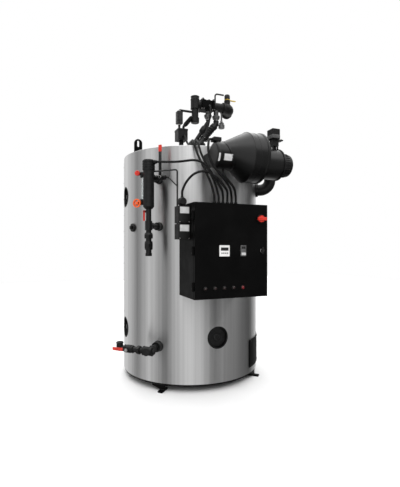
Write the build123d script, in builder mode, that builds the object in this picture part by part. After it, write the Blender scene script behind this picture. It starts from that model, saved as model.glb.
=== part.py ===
from build123d import *
import os
from math import atan2, cos, hypot, radians, sin, tan

os.makedirs("parts", exist_ok=True)

# Vertical packaged boiler, millimetres, +Z up, floor at z = 0, cabinet towards -Y.

# Boiler shell
jacket_r = 600
jacket_wall = 50
jacket_top = 1902
floor_gap = 50
base_t = 12
base_inset = 4
cover_t = 8
seam_azimuth = 76
seat_gap = 0.3

# Feet and lifting lugs
foot_side = 46
foot_w = 40
foot_flare = 71
foot_t = 16
foot_setback = 6
foot_toe = 36
foot_inner = 60
toe_t = 12
anchor_r = 6.5
anchor_edge = 14
lug_inset = 111
lug_w = 70
lug_h = 160
lug_t = 16
lug_slot_w = 18
lug_slot_h = 55
lug_rim = 13
lug_pad_t = 10
lug_pad_side = 20

# Covers on the jacket
handhole_r = 87
handhole_t = 14
handhole_liner = 9
handhole_depth = 30
handhole_boss_r = 26
handhole_boss_h = 5
handhole_nut_r = 15
handhole_nut_h = 14
handhole_low_z = 415
handhole_side_low_z = 430
handhole_side_high_z = 1550
plug_r = 34
plug_sink = 6
plug_h = 10
plug_chamfer = 4
plug_square = 24
plug_square_h = 14
plug_azimuth = -72.6
plug_z = 1279
panel_azimuth = 34
panel_arc_angle = 48
panel_low = 110
panel_high = 340
panel_t = 6

# Connections at the back and on the cover
flue_r = 125
flue_wall = 6
flue_length = 120
flue_rim = 30
flue_base_t = 12
flue_sink = 24
flue_drop = 222
steam_pipe_r = 30
steam_bore_r = 26
steam_flange_r = 82
steam_flange_t = 18
steam_height = 110
steam_collar = 20
steam_collar_t = 10
steam_taper = 6
steam_hub = 8
steam_inset = 250
feed_r = 24
feed_bore_r = 17
feed_length = 60
feed_collar = 14
feed_collar_t = 8
feed_taper = 6
feed_sink = 6
feed_bore_stop = 10
feed_azimuth = 160
feed_z = 900

# Control cabinet
cab_left = -330
cab_right = 236
cab_standoff = 30
cab_depth = 303
cab_bottom = 767
cab_height = 657
cab_sheet = 3
door_t = 20
door_gap = 0.8
door_reveal = 1
bracket_h = 50
bracket_w = 380
bracket_inset = 110
hinge_inset = 88.5
knuckle_r = 8
knuckle_h = 30
pin_r = 4
pin_play = 0.4
hinge_offset = 9
leaf_t = 5
leaf_depth = 40
leaf_half = 3
leaf_lap = 1

# Door furniture
disconnect_inset = 58
disconnect_drop = 102
disconnect_base_r = 31
disconnect_base_t = 8
disconnect_r = 24
disconnect_t = 12
grip_length = 72
grip_w = 22
grip_depth = 26
grip_round = 4
knob_play = 0.5
latch_inset = 44
latch_length = 47
latch_w = 16
latch_t = 12
latch_plate_t = 5
latch_plate_rim = 4
latch_round = 3
controller_offset = -64
controller_side = 76
display_offset = 83
display_w = 42
instrument_t = 8
instrument_corner = 4
bezel_side = 6
bezel_end = 7
screen_depth = 2
lamp_inset = 78
lamp_pitch = 70.8
lamp_count = 5
lamp_rise = 73
lamp_r = 13
lamp_t = 14
lamp_rim = 3
lamp_rim_t = 4
lamp_seat = 6
lamp_shoulder = 10
lamp_tip_r = 5

# Glands and pressure switches
gland_offset = -68
gland_pitch = 35
gland_count = 6
gland_setback = 150
gland_plate_rim = 8
gland_plate_depth = 70
gland_plate_t = 4
gland_r = 12
gland_h = 24
gland_nut_h = 10
gland_step = 2
switch_w = 83
switch_setback = 83
switch_depth = 90
switch_drop = 22
switch_upper_h = 116
switch_gap = 6
switch_lower_h = 106
switch_round = 6
hub_r = 28
hub_rise = 34
hub_length = 50
hub_neck = 8
hub_neck_r = 11
hub_taper = 6
hub_taper_h = 8

# Water column with its gauge glass
column_azimuth = -45
column_standoff = 160
column_r = 41
column_above = 121
column_below = 241
column_cap_r = 47
column_cap_h = 73
column_crown = 8
column_foot_r = 26
column_foot_h = 18
rib_count = 4
rib_t = 11
rib_step = 5
column_pipe_r = 21
column_pipe_lap = 20
coupling_r = 30
coupling_length = 40
coupling_sink = 10
upper_drop = 260
connection_pitch = 363
drain_drop = 225
drain_pipe_r = 20
cross_half = 34
cross_rim = 6
cross_reach = 30
drain_plug_r = 24
drain_plug_h = 22
drain_nipple = 24
drain_valve_r = 30
drain_valve_rim = 3
drain_valve_h = 64
drain_valve_taper = 14
drain_nipple_high = 20
drain_union_r = 31
drain_union_rim = 6
drain_union_h = 30
drain_union_taper = 12
lever_t = 4
lever_gap = 0.4
lever_eye = 3
column_stem_x = 68
column_stem_y = 80
column_valve_r = 18
column_stem_r = 7
column_stem_length = 39
column_valve_tail = 30
column_lever_seat = 12
column_lever_w = 23
column_lever_length = 240
column_lever_round = 1
glass_x = -54
glass_r = 8
glass_nut = 7
glass_nut_h = 30
cock_r = 13
cock_lap = 8
cock_reach = 100
cock_rise = 26
cock_pitch = 222
gauge_stem_r = 5
gauge_stem_length = 16
gauge_handle_seat = 10
gauge_knob_x = -80
gauge_knob_r = 20
gauge_knob_t = 18
gauge_knob_foot_r = 14
gauge_knob_crown_r = 15
gauge_knob_round = 4
gauge_wheel_x = -85
gauge_wheel_r = 32
gauge_wheel_t = 12
wheel_rim = 9
wheel_hub_r = 11
spoke_inset = 10
spoke_w = 8
spoke_t = 7
spoke_turns = (45, 135)
drain_cock_rise = 105
drain_cock_x = -30
drain_cock_r = 9
drain_cock_tail = 10
drain_stem_length = 20
drain_lever_seat = 14
drain_lever_w = 14
drain_lever_length = 70
drain_lever_eye = 2

# Blowdown line
blow_azimuth = -45.6
blow_standoff = 155
blow_z = 349
blow_coupling_r = 39
blow_sink = 12
blow_stub_step = 3
blow_pipe_r = 21
blow_tee_r = 32
blow_tee_half = 40
blow_face_inset = 6
blow_face_step = 3
blow_plug_r = 20
blow_plug_h = 14
blow_union_r = 29
blow_union_start = 66
blow_union_w = 26
blow_valve_x = -165
blow_valve_r = 30
blow_valve_end_r = 26
blow_valve_half = 40
blow_neck_half = 26
blow_body_half = 18
blow_stem_length = 16
blow_lever_seat = 8
blow_end_x = -250
blow_rise = 45
blow_bore_r = 16
blow_bore_floor = 10
blow_elbow_rim = 5
blow_lever_length = 122
blow_lever_w = 20

# Small-bore pressure tube
tube_r = 6
tube_bend = 18
tube_rise = 34
tube_entry_rise = 29
branch_fall = 85
branch_reach = 25
branch_r = 5

# Combustion air
blower_standoff = 220
blower_drop = 125
duct_r = 95
duct_left = -143
duct_round = 22
mitre_top = -75
mitre_bottom = 0
mitre_band = 5
mitre_band_w = 10
throat_inset = 20
throat_w = 44
throat_h = 110
throat_corner = 12
throat_sink = 20
drum_r = 180
drum_left = 100
drum_right = 220
drum_lip = 6
drum_lip_t = 12
fan_setback = 60
fan_sag = 17
fan_r = 116
fan_right = 440
fan_round = 12
motor_r = 88
motor_right = 535
motor_round = 24
plate_t = 8
plate_rise = 189
plate_left = 380
plate_right = 475
plate_depth = 50
pedestal_right = 436
pedestal_depth = 42
pedestal_h = 44
actuator_left = 367
actuator_right = 438
actuator_depth = 82
actuator_h = 78
actuator_round = 8
actuator_top_round = 6
post_r = 7
damper_stem_r = 4
recirc_r = 50
recirc_azimuth = 58
recirc_standoff = 122
recirc_fan_x = 270
recirc_rise = 10
recirc_drop = 132
recirc_fan_bend = 56
recirc_wall_bend = 84
recirc_sink = 40
recirc_collar_r = 60
recirc_collar_t = 14
air_switch_w = 60
air_switch_h = 28
air_switch_depth = 60
air_switch_inset = 15
air_switch_round = 5

# Gas train on the cover
gas_y = -150
gas_rise = 483
tee_x = -13
tee_r = 30
tee_band_r = 37
tee_band_h = 28
tee_foot_step = 5
tee_foot_h = 6
tee_foot_band = 46
tee_collar_step = 2
tee_collar_below = 44
tee_collar_above = 40
tee_branch_step = 3
tee_below = 169
tee_above = 67
tee_bore_r = 24
tee_bore_depth = 40
valve_left = 40
valve_length = 115
valve_half = 40
valve_below = 50
valve_above = 40
valve_flange = 100
valve_flange_t = 12
stud_inset = 32
stud_r = 16
stud_h = 14
main_r = 40
main_length = 121
elbow_r = 50
elbow_bend = 62
elbow_reach = 95
elbow_lap = 20
elbow_rim = 8
elbow_rim_t = 16
cock_offset = 29
cock_body_r = 27
cock_height = 78
cock_stem_h = 20
cock_cap_r = 25
cock_cap_h = 50
cock_cap_taper = 6
cock_cap_taper_h = 8
gas_lever_length = 85
gas_lever_w = 16
gas_lever_t = 6
vent_r = 7
vent_offset = 28
vent_rise = 122
vent_reach = 86
vent_bend = 22
regulator_r = 30
regulator_offsets = (-43, 37)
regulator_drop = 125
regulator_foot_r = 20
regulator_foot_h = 10
regulator_taper = 8
regulator_cup_h = 34
regulator_lip = 5
regulator_lip_t = 8
regulator_neck_r = 22
regulator_neck_taper = 10
head_r = 80
head_rim = 30
head_rim_t = 16
head_h = 154
head_shoulder = 26
head_taper = 22
drop_r = 25
drop_rib = 7
drop_rib_shares = (0.30, 0.40, 0.50, 0.60)
drop_b_r = 17
drop_end_x = 34
drop_b_end_x = -14
drop_neck = 2
drop_sink = 6
gas_switch_offset = 92
gas_switch_r = 28
gas_switch_round = 4
gas_switch_h = 32
gas_switch_taper = 6
gas_switch_neck_r = 22
gas_switch_neck_h = 12
gas_switch_pipe_r = 8
gas_switch_pipe_taper = 4
gas_switch_drop = 186
pilot_r = 10
pilot_bend = 12
pilot_valve_x = -161
pilot_valve_w = 52
pilot_valve_h = 105
pilot_valve_chamfer = 6
pilot_valve_rise = 50
pilot_bend_room = 15
hose_r = 11
hose_rise = 82
hose_foot = 32
hose_bend = 24
hose_x = -122
ignition_x = -143
ignition_w = 87
ignition_depth = 100
ignition_rise = 144
ignition_h = 96
ignition_round = 5
ignition_post_w = 36
ignition_post_depth = 16
ignition_foot_left = 40
ignition_foot_right = 24
ignition_foot_depth = 60
ignition_foot_t = 6

# Electrical leads
lead_r = 8.5
lead_exit = 36
lead_arc_share = 0.45

# Sizes that follow from the ones above
jacket_low = floor_gap + base_t
jacket_high = jacket_top - cover_t
lug_circle = jacket_r - lug_inset
steam_y = jacket_r - steam_inset
cab_back = -jacket_r - cab_standoff
cab_front = cab_back - cab_depth
cab_top = cab_bottom + cab_height
door_back = cab_front + door_t
cab_mid_x = (cab_left + cab_right) / 2
cab_mid_z = (cab_bottom + cab_top) / 2
hinge_x = cab_left - hinge_offset
hinge_y = cab_front + door_t / 2
disconnect_x = cab_right - disconnect_inset
disconnect_z = cab_top - disconnect_drop
latch_x = cab_right - latch_inset
gland_y = cab_back - gland_setback
gland_top = cab_top + gland_plate_t + gland_h
switch_front = cab_front + switch_setback
switch_back = switch_front + switch_depth
switch_upper_high = cab_top - switch_drop
switch_upper_low = switch_upper_high - switch_upper_h
switch_lower_high = switch_upper_low - switch_gap
switch_lower_low = switch_lower_high - switch_lower_h
switch_mid_x = cab_left - switch_w / 2
switch_mid_y = (switch_front + switch_back) / 2
hub_z = switch_upper_high + hub_rise
hub_top = hub_z + hub_r + hub_neck
column_circle = jacket_r + column_standoff
upper_z = jacket_top - upper_drop
lower_z = upper_z - connection_pitch
column_low = upper_z - column_below
column_high = upper_z + column_above
cock_high_z = upper_z + cock_rise
cock_low_z = cock_high_z - cock_pitch
drain_cock_z = lower_z + drain_cock_rise
drain_end_z = lower_z - drain_drop
blow_circle = jacket_r + blow_standoff
blower_y = -jacket_r - blower_standoff
blower_z = jacket_top - blower_drop
fan_y = blower_y + fan_setback
fan_z = blower_z - fan_sag
plate_z = fan_z + plate_rise
gas_z = jacket_top + gas_rise
tee_low = gas_z - tee_below
tee_high = gas_z + tee_above
valve_right = valve_left + valve_length
valve_low = gas_z - valve_below
valve_high = gas_z + valve_above
elbow_start = valve_right + main_length
cock_x = elbow_start + cock_offset
cock_top_z = gas_z + cock_height
regulator_xs = [valve_right + offset for offset in regulator_offsets]
regulator_low = gas_z - regulator_drop
head_top = jacket_top + head_h
ignition_low = jacket_top + ignition_rise
ignition_high = ignition_low + ignition_h
pilot_valve_low = ignition_high + pilot_valve_rise
pilot_valve_high = pilot_valve_low + pilot_valve_h
low = (Align.CENTER, Align.CENTER, Align.MIN)


def outward(azimuth, radius, height):
    """Plane facing away from the boiler: x along the wall, y up, z outwards."""
    a = radians(azimuth)
    place = (radius * sin(a), -radius * cos(a), height)
    return Plane(origin=place, x_dir=(cos(a), sin(a), 0), z_dir=(sin(a), -cos(a), 0))


def radial_section(azimuth):
    """Upright plane through the boiler's axis: x is the radius, y is the height."""
    a = radians(azimuth)
    return Plane(origin=(0, 0, 0), x_dir=(sin(a), -cos(a), 0), z_dir=(-cos(a), -sin(a), 0))


def station(azimuth, radius):
    """Frame beside the boiler: x along the wall to the right, y towards the axis, z up."""
    a = radians(azimuth)
    return Plane(origin=(radius * sin(a), -radius * cos(a), 0), x_dir=(cos(a), sin(a), 0))


def rod(start, end, radius, mode=Mode.ADD):
    """Round bar between two points."""
    first = Vector(*start)
    axis = Vector(*end) - first
    with Locations(Plane(origin=first, z_dir=axis).location):
        Cylinder(radius, axis.length, align=low, mode=mode)


def block(corner, opposite, mode=Mode.ADD):
    """Rectangular block between two corners."""
    sizes = [abs(b - a) for a, b in zip(corner, opposite)]
    middle = [(a + b) / 2 for a, b in zip(corner, opposite)]
    with Locations(tuple(middle)):
        Box(*sizes, mode=mode)


def turned(plane, outline, mode=Mode.ADD):
    """Turned piece about the plane's normal; the outline lists (radius, height) upwards."""
    section = Plane(origin=plane.origin, x_dir=plane.x_dir, z_dir=-plane.y_dir)
    with BuildSketch(section) as profile:
        with BuildLine():
            Polyline((0, outline[0][1]), *outline, (0, outline[-1][1]), close=True)
        make_face()
    revolve(profile.sketch, Axis(plane.origin, plane.z_dir), mode=mode)


def clear_jacket():
    """Cuts the seat that follows the round jacket."""
    Cylinder(jacket_r + seat_gap, jacket_top, align=low, mode=Mode.SUBTRACT)


def keep(piece, name):
    """Names a finished piece and writes it out."""
    piece.part.label = name
    export_step(piece.part, f"parts/{name}.step")


# Base plate and the two halves of the insulated jacket
with BuildPart(Plane.XY.offset(floor_gap)) as base_plate:
    Cylinder(jacket_r - base_inset, base_t, align=low)
keep(base_plate, "base_plate")

handhole_places = (
    ("handhole_front", ((0, handhole_low_z),)),
    ("handhole_rear", ((180, handhole_low_z),)),
    ("handholes_left", ((-90, handhole_side_low_z), (-90, handhole_side_high_z))),
    ("handholes_right", ((90, handhole_side_low_z), (90, handhole_side_high_z))),
)
for name, start in (("jacket_front", seam_azimuth - 180), ("jacket_rear", seam_azimuth)):
    with BuildPart() as jacket:
        with BuildSketch(radial_section(start)):
            with Locations((jacket_r - jacket_wall / 2, (jacket_low + jacket_high) / 2)):
                Rectangle(jacket_wall, jacket_high - jacket_low)
        revolve(axis=Axis.Z, revolution_arc=180)
        for _, places in handhole_places:
            for azimuth, height in places:
                with Locations(outward(azimuth, jacket_r, height).location):
                    Cylinder(handhole_r, 4 * jacket_wall, mode=Mode.SUBTRACT)
    keep(jacket, name)

with BuildPart(Plane.XY.offset(jacket_high)) as top_cover:
    Cylinder(jacket_r, cover_t, align=low)
    fillet(top_cover.faces().sort_by(Axis.Z)[-1].edges(), cover_t / 2)
keep(top_cover, "top_cover")

# Four feet: a flared upright plate under the rim and a toe with an anchor hole
foot_places = (
    ("foot_front_left", -45),
    ("foot_front_right", 45),
    ("foot_rear_left", -135),
    ("foot_rear_right", 135),
)
toe_tip = jacket_r + foot_toe
anchor_circle = toe_tip - anchor_edge
foot_inner_side = foot_side - foot_w
for name, azimuth in foot_places:
    stand = station(azimuth, 0)
    with BuildPart() as foot:
        with BuildSketch(outward(azimuth, jacket_r - foot_setback, 0)):
            with BuildLine():
                Polyline(
                    (foot_inner_side, 0),
                    (foot_side, 0),
                    (foot_side, floor_gap),
                    (foot_inner_side - foot_flare, floor_gap),
                    (foot_inner_side - foot_flare, floor_gap - toe_t),
                    (foot_inner_side, toe_t),
                    close=True,
                )
            make_face()
        extrude(amount=-foot_t)
        with BuildSketch(stand):
            with Locations((foot_side - foot_w / 2, -(toe_tip + jacket_r - foot_inner) / 2)):
                Rectangle(foot_w, toe_tip - jacket_r + foot_inner)
            with Locations((foot_side - foot_w / 2, -anchor_circle)):
                Circle(anchor_r, mode=Mode.SUBTRACT)
        extrude(amount=toe_t)
    keep(foot, name)

# Lifting lugs: upright plates with an oblong eye
for name, side in (("lifting_lug_left", -1), ("lifting_lug_right", 1)):
    with BuildPart() as lug:
        with BuildSketch(Plane.XZ):
            with Locations((side * lug_circle, jacket_top + (lug_h - lug_w / 2) / 2)):
                Rectangle(lug_w, lug_h - lug_w / 2)
            with Locations((side * lug_circle, jacket_top + lug_h - lug_w / 2)):
                Circle(lug_w / 2)
            with Locations((side * lug_circle, jacket_top + lug_h - lug_rim - lug_slot_h / 2)):
                SlotOverall(lug_slot_h, lug_slot_w, rotation=90, mode=Mode.SUBTRACT)
        extrude(amount=lug_t / 2, both=True)
        with Locations((side * lug_circle, 0, jacket_top)):
            Box(lug_w + 2 * lug_pad_side, lug_t + 2 * lug_pad_side, lug_pad_t, align=low)
    keep(lug, name)


def handhole(azimuth, height):
    """Liner through the jacket wall with a recessed cover and its clamping nut."""
    face = outward(azimuth, jacket_r, height)
    liner_r = handhole_r - seat_gap
    bore_r = liner_r - handhole_liner
    outline = (
        (liner_r, -handhole_depth - handhole_t),
        (liner_r, 0),
        (bore_r, 0),
        (bore_r, -handhole_depth),
        (handhole_boss_r + handhole_boss_h, -handhole_depth),
        (handhole_boss_r, handhole_boss_h - handhole_depth),
    )
    turned(face, outline)
    with Locations(face.offset(handhole_boss_h - handhole_depth).location):
        Cylinder(handhole_nut_r, handhole_nut_h, align=low)


for name, places in handhole_places:
    with BuildPart() as covers:
        for azimuth, height in places:
            handhole(azimuth, height)
        Cylinder(jacket_r, jacket_top, align=low, mode=Mode.INTERSECT)
    keep(covers, name)

with BuildPart() as inspection_plug:
    plug_face = outward(plug_azimuth, jacket_r, plug_z)
    plug_crown = plug_h + plug_chamfer
    turned(plug_face, ((plug_r, -plug_sink), (plug_r, plug_h), (plug_r - plug_chamfer, plug_crown)))
    with Locations(plug_face.offset(plug_crown).location):
        Box(plug_square, plug_square, plug_square_h, align=low)
    clear_jacket()
keep(inspection_plug, "inspection_plug")

with BuildPart() as access_panel:
    with BuildSketch(radial_section(panel_azimuth)):
        with Locations((jacket_r + seat_gap + panel_t / 2, (panel_low + panel_high) / 2)):
            Rectangle(panel_t, panel_high - panel_low)
    revolve(axis=Axis.Z, revolution_arc=panel_arc_angle)
keep(access_panel, "access_panel")

# Flue collar at the back, steam flange on the cover, feed coupling
with BuildPart() as flue_outlet:
    flue_face = outward(180, jacket_r, jacket_top - flue_drop)
    flue_outline = (
        (flue_r + flue_rim, -flue_sink),
        (flue_r + flue_rim, flue_base_t),
        (flue_r, flue_base_t),
        (flue_r, flue_length),
    )
    turned(flue_face, flue_outline)
    with Locations(flue_face.offset(flue_base_t).location):
        Cylinder(flue_r - flue_wall, flue_length, align=low, mode=Mode.SUBTRACT)
    clear_jacket()
keep(flue_outlet, "flue_outlet")

with BuildPart() as steam_outlet:
    steam_base = Plane(origin=(0, steam_y, jacket_top))
    steam_outline = (
        (steam_pipe_r + steam_collar, 0),
        (steam_pipe_r + steam_collar, steam_collar_t),
        (steam_pipe_r, steam_collar_t + steam_taper),
        (steam_pipe_r, steam_height - steam_flange_t - steam_hub),
        (steam_pipe_r + steam_hub, steam_height - steam_flange_t),
        (steam_flange_r, steam_height - steam_flange_t),
        (steam_flange_r, steam_height),
    )
    turned(steam_base, steam_outline)
    rod((0, steam_y, jacket_top), (0, steam_y, jacket_top + steam_height), steam_bore_r, Mode.SUBTRACT)
keep(steam_outlet, "steam_outlet")

with BuildPart() as feedwater_inlet:
    feed_face = outward(feed_azimuth, jacket_r, feed_z)
    feed_outline = (
        (feed_r + feed_collar, -feed_sink),
        (feed_r + feed_collar, feed_collar_t),
        (feed_r, feed_collar_t + feed_taper),
        (feed_r, feed_length),
    )
    turned(feed_face, feed_outline)
    with Locations(feed_face.offset(feed_length).location):
        Cylinder(feed_bore_r, 2 * (feed_length - feed_bore_stop), mode=Mode.SUBTRACT)
    clear_jacket()
keep(feedwater_inlet, "feedwater_inlet")

# Control cabinet: open box, brackets to the jacket, hinged tray door
with BuildPart() as cabinet_body:
    block((cab_left, door_back + door_gap, cab_bottom), (cab_right, cab_back, cab_top))
    offset(amount=-cab_sheet, openings=cabinet_body.faces().sort_by(Axis.Y)[0])
keep(cabinet_body, "cabinet_body")

with BuildPart() as cabinet_brackets:
    for height in (cab_bottom + bracket_inset, cab_top - bracket_inset):
        with Locations((cab_mid_x, cab_back, height)):
            Box(bracket_w, jacket_r, bracket_h, align=(Align.CENTER, Align.MIN, Align.CENTER))
    clear_jacket()
    block((cab_left, 0, cab_bottom), (cab_right, jacket_r, cab_top), mode=Mode.SUBTRACT)
keep(cabinet_brackets, "cabinet_brackets")

hinge_heights = (cab_bottom + hinge_inset, cab_mid_z, cab_top - hinge_inset)
with BuildPart() as cabinet_door:
    block(
        (cab_left + door_reveal, cab_front, cab_bottom + door_reveal),
        (cab_right - door_reveal, door_back, cab_top - door_reveal),
    )
    offset(amount=-cab_sheet, openings=cabinet_door.faces().sort_by(Axis.Y)[-1])
    for height in hinge_heights:
        block(
            (hinge_x, hinge_y - leaf_half, height),
            (cab_left + door_reveal + leaf_lap, hinge_y + leaf_half, height + knuckle_h),
        )
        rod((hinge_x, hinge_y, height), (hinge_x, hinge_y, height + knuckle_h), knuckle_r)
        bore = pin_r + pin_play
        rod((hinge_x, hinge_y, height), (hinge_x, hinge_y, height + knuckle_h), bore, Mode.SUBTRACT)
    rod(
        (disconnect_x, cab_front, disconnect_z),
        (disconnect_x, cab_front - disconnect_base_t, disconnect_z),
        disconnect_base_r,
    )
keep(cabinet_door, "cabinet_door")

with BuildPart() as cabinet_hinges:
    for height in hinge_heights:
        bottom = height - pin_play - knuckle_h
        rod((hinge_x, hinge_y, bottom), (hinge_x, hinge_y, bottom + knuckle_h), knuckle_r)
        rod((hinge_x, hinge_y, bottom), (hinge_x, hinge_y, height + knuckle_h), pin_r)
        leaf_back = hinge_y + leaf_depth
        block((cab_left - leaf_t, hinge_y, bottom), (cab_left, leaf_back, bottom + knuckle_h))
keep(cabinet_hinges, "cabinet_hinges")

with BuildPart() as disconnect_handle:
    knob_y = cab_front - disconnect_base_t - knob_play
    grip_y = knob_y - disconnect_t
    rod((disconnect_x, knob_y, disconnect_z), (disconnect_x, grip_y, disconnect_z), disconnect_r)
    block(
        (disconnect_x - grip_length / 2, grip_y, disconnect_z - grip_w / 2),
        (disconnect_x + grip_length / 2, knob_y - grip_depth, disconnect_z + grip_w / 2),
    )
    fillet(disconnect_handle.faces().sort_by(Axis.Y)[0].edges(), grip_round)
keep(disconnect_handle, "disconnect_handle")

with BuildPart() as door_latch:
    latch_y = cab_front - knob_play
    bar_y = latch_y - latch_plate_t
    rod((latch_x, latch_y, cab_mid_z), (latch_x, bar_y, cab_mid_z), latch_w / 2 + latch_plate_rim)
    block(
        (latch_x - latch_w / 2, bar_y, cab_mid_z - latch_length / 2),
        (latch_x + latch_w / 2, latch_y - latch_t, cab_mid_z + latch_length / 2),
    )
    fillet(door_latch.faces().sort_by(Axis.Y)[0].edges(), latch_round)
keep(door_latch, "door_latch")

with BuildPart() as panel_instruments:
    for offset_x, width in ((controller_offset, controller_side), (display_offset, display_w)):
        with BuildSketch(Plane.XZ.offset(-cab_front)):
            with Locations((cab_mid_x + offset_x, cab_mid_z)):
                RectangleRounded(width, controller_side, instrument_corner)
        extrude(amount=instrument_t)
        with BuildSketch(Plane.XZ.offset(-cab_front + instrument_t)):
            with Locations((cab_mid_x + offset_x, cab_mid_z)):
                Rectangle(width - 2 * bezel_side, controller_side - 2 * bezel_end)
        extrude(amount=-screen_depth, mode=Mode.SUBTRACT)
keep(panel_instruments, "panel_instruments")

with BuildPart() as pilot_lamps:
    for index in range(lamp_count):
        lamp_x = cab_left + lamp_inset + index * lamp_pitch
        lamp_place = (lamp_x, cab_front, cab_bottom + lamp_rise)
        lamp_outline = (
            (lamp_r, 0),
            (lamp_r, lamp_rim_t),
            (lamp_r - lamp_rim, lamp_seat),
            (lamp_r - lamp_rim, lamp_shoulder),
            (lamp_tip_r, lamp_t),
        )
        turned(Plane(origin=lamp_place, x_dir=(1, 0, 0), z_dir=(0, -1, 0)), lamp_outline)
keep(pilot_lamps, "pilot_lamps")

# Gland plate on the cabinet and the switches beside it
gland_xs = [cab_mid_x + gland_offset + index * gland_pitch for index in range(gland_count)]
plate_half = gland_pitch / 2 + gland_plate_rim
with BuildPart() as gland_plate:
    block(
        (gland_xs[0] - plate_half, gland_y - gland_plate_depth / 2, cab_top),
        (gland_xs[-1] + plate_half, gland_y + gland_plate_depth / 2, cab_top + gland_plate_t),
    )
    for gland_x in gland_xs:
        gland_face = Plane(origin=(gland_x, gland_y, cab_top))
        nut = gland_plate_t + gland_nut_h
        gland_outline = (
            (gland_r + gland_step, 0),
            (gland_r + gland_step, nut),
            (gland_r, nut),
            (gland_r - gland_step, gland_top - cab_top),
        )
        turned(gland_face, gland_outline)
keep(gland_plate, "gland_plate")

with BuildPart() as pressure_switches:
    for bottom, top in ((switch_upper_low, switch_upper_high), (switch_lower_low, switch_lower_high)):
        block((cab_left - switch_w, switch_front, bottom), (cab_left, switch_front + switch_depth, top))
    fillet(pressure_switches.edges().filter_by(Axis.Z).group_by(Axis.X)[0], switch_round)
    hub_face = Plane(origin=(switch_mid_x, switch_mid_y + hub_length / 2, hub_z), z_dir=(0, -1, 0))
    turned(hub_face, ((hub_r, 0), (hub_r, hub_length - hub_taper_h), (hub_r - hub_taper, hub_length)))
    rod((switch_mid_x, switch_mid_y, switch_upper_high), (switch_mid_x, switch_mid_y, hub_top), hub_neck_r)
keep(pressure_switches, "pressure_switches")

# Water column: ribbed float body on two connections
column = station(column_azimuth, column_circle)


def at_column(x, y, z):
    """Point beside the water column."""
    return tuple(column.from_local_coords((x, y, z)))


def column_plane(x, y, z, normal, across):
    """Plane beside the water column from local directions."""
    turn = Plane(column.origin * 0, x_dir=column.x_dir)
    side = turn.from_local_coords(Vector(*across))
    return Plane(origin=at_column(x, y, z), x_dir=side, z_dir=turn.from_local_coords(Vector(*normal)))


wall_y = column_circle - jacket_r
outward_dir = (0, -1, 0)
along_dir = (1, 0, 0)

with BuildPart() as water_column:
    ribs = []
    rib_low = column_high - column_cap_h
    for index in range(rib_count):
        rib_z = rib_low + index * column_cap_h / rib_count
        groove_r = column_cap_r - rib_step
        ribs += [(column_cap_r, rib_z), (column_cap_r, rib_z + rib_t), (groove_r, rib_z + rib_t)]
        ribs += [(groove_r, rib_z + column_cap_h / rib_count)]
    column_outline = [
        (column_foot_r, column_low),
        (column_r, column_low + column_foot_h),
        (column_r, rib_low),
        *ribs[:-1],
        (column_cap_r - column_crown, column_high),
    ]
    turned(column, column_outline)
keep(water_column, "water_column")

with BuildPart() as column_upper_pipe:
    wall_end = wall_y - coupling_length
    rod(at_column(0, wall_y + coupling_sink, upper_z), at_column(0, wall_end, upper_z), coupling_r)
    rod(at_column(0, wall_y + coupling_sink, upper_z), at_column(0, column_pipe_lap, upper_z), column_pipe_r)
    valve_end_x = column_stem_x + column_valve_tail
    rod(at_column(0, column_stem_y, upper_z), at_column(valve_end_x, column_stem_y, upper_z), column_valve_r)
    stem_tip = column_stem_y - column_stem_length
    rod(
        at_column(column_stem_x, column_stem_y, upper_z),
        at_column(column_stem_x, stem_tip, upper_z),
        column_stem_r,
    )
    turned(column, ((column_r + seat_gap, column_low), (column_r + seat_gap, column_high)), Mode.SUBTRACT)
    clear_jacket()
keep(column_upper_pipe, "column_upper_pipe")

lever_y = stem_tip + column_lever_seat
with BuildPart() as column_lever:
    with BuildSketch(column_plane(column_stem_x, lever_y, upper_z, outward_dir, along_dir)):
        Circle(column_lever_w / 2 + lever_eye)
        with Locations((0, column_lever_length / 2)):
            Rectangle(column_lever_w, column_lever_length)
        Circle(column_stem_r + lever_gap, mode=Mode.SUBTRACT)
    extrude(amount=lever_t)
    tip_edges = column_lever.edges().filter_by(GeomType.LINE).group_by(Axis.Z)[-1]
    fillet(tip_edges.group_by(SortBy.LENGTH)[0], column_lever_round)
keep(column_lever, "column_lever")

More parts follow.
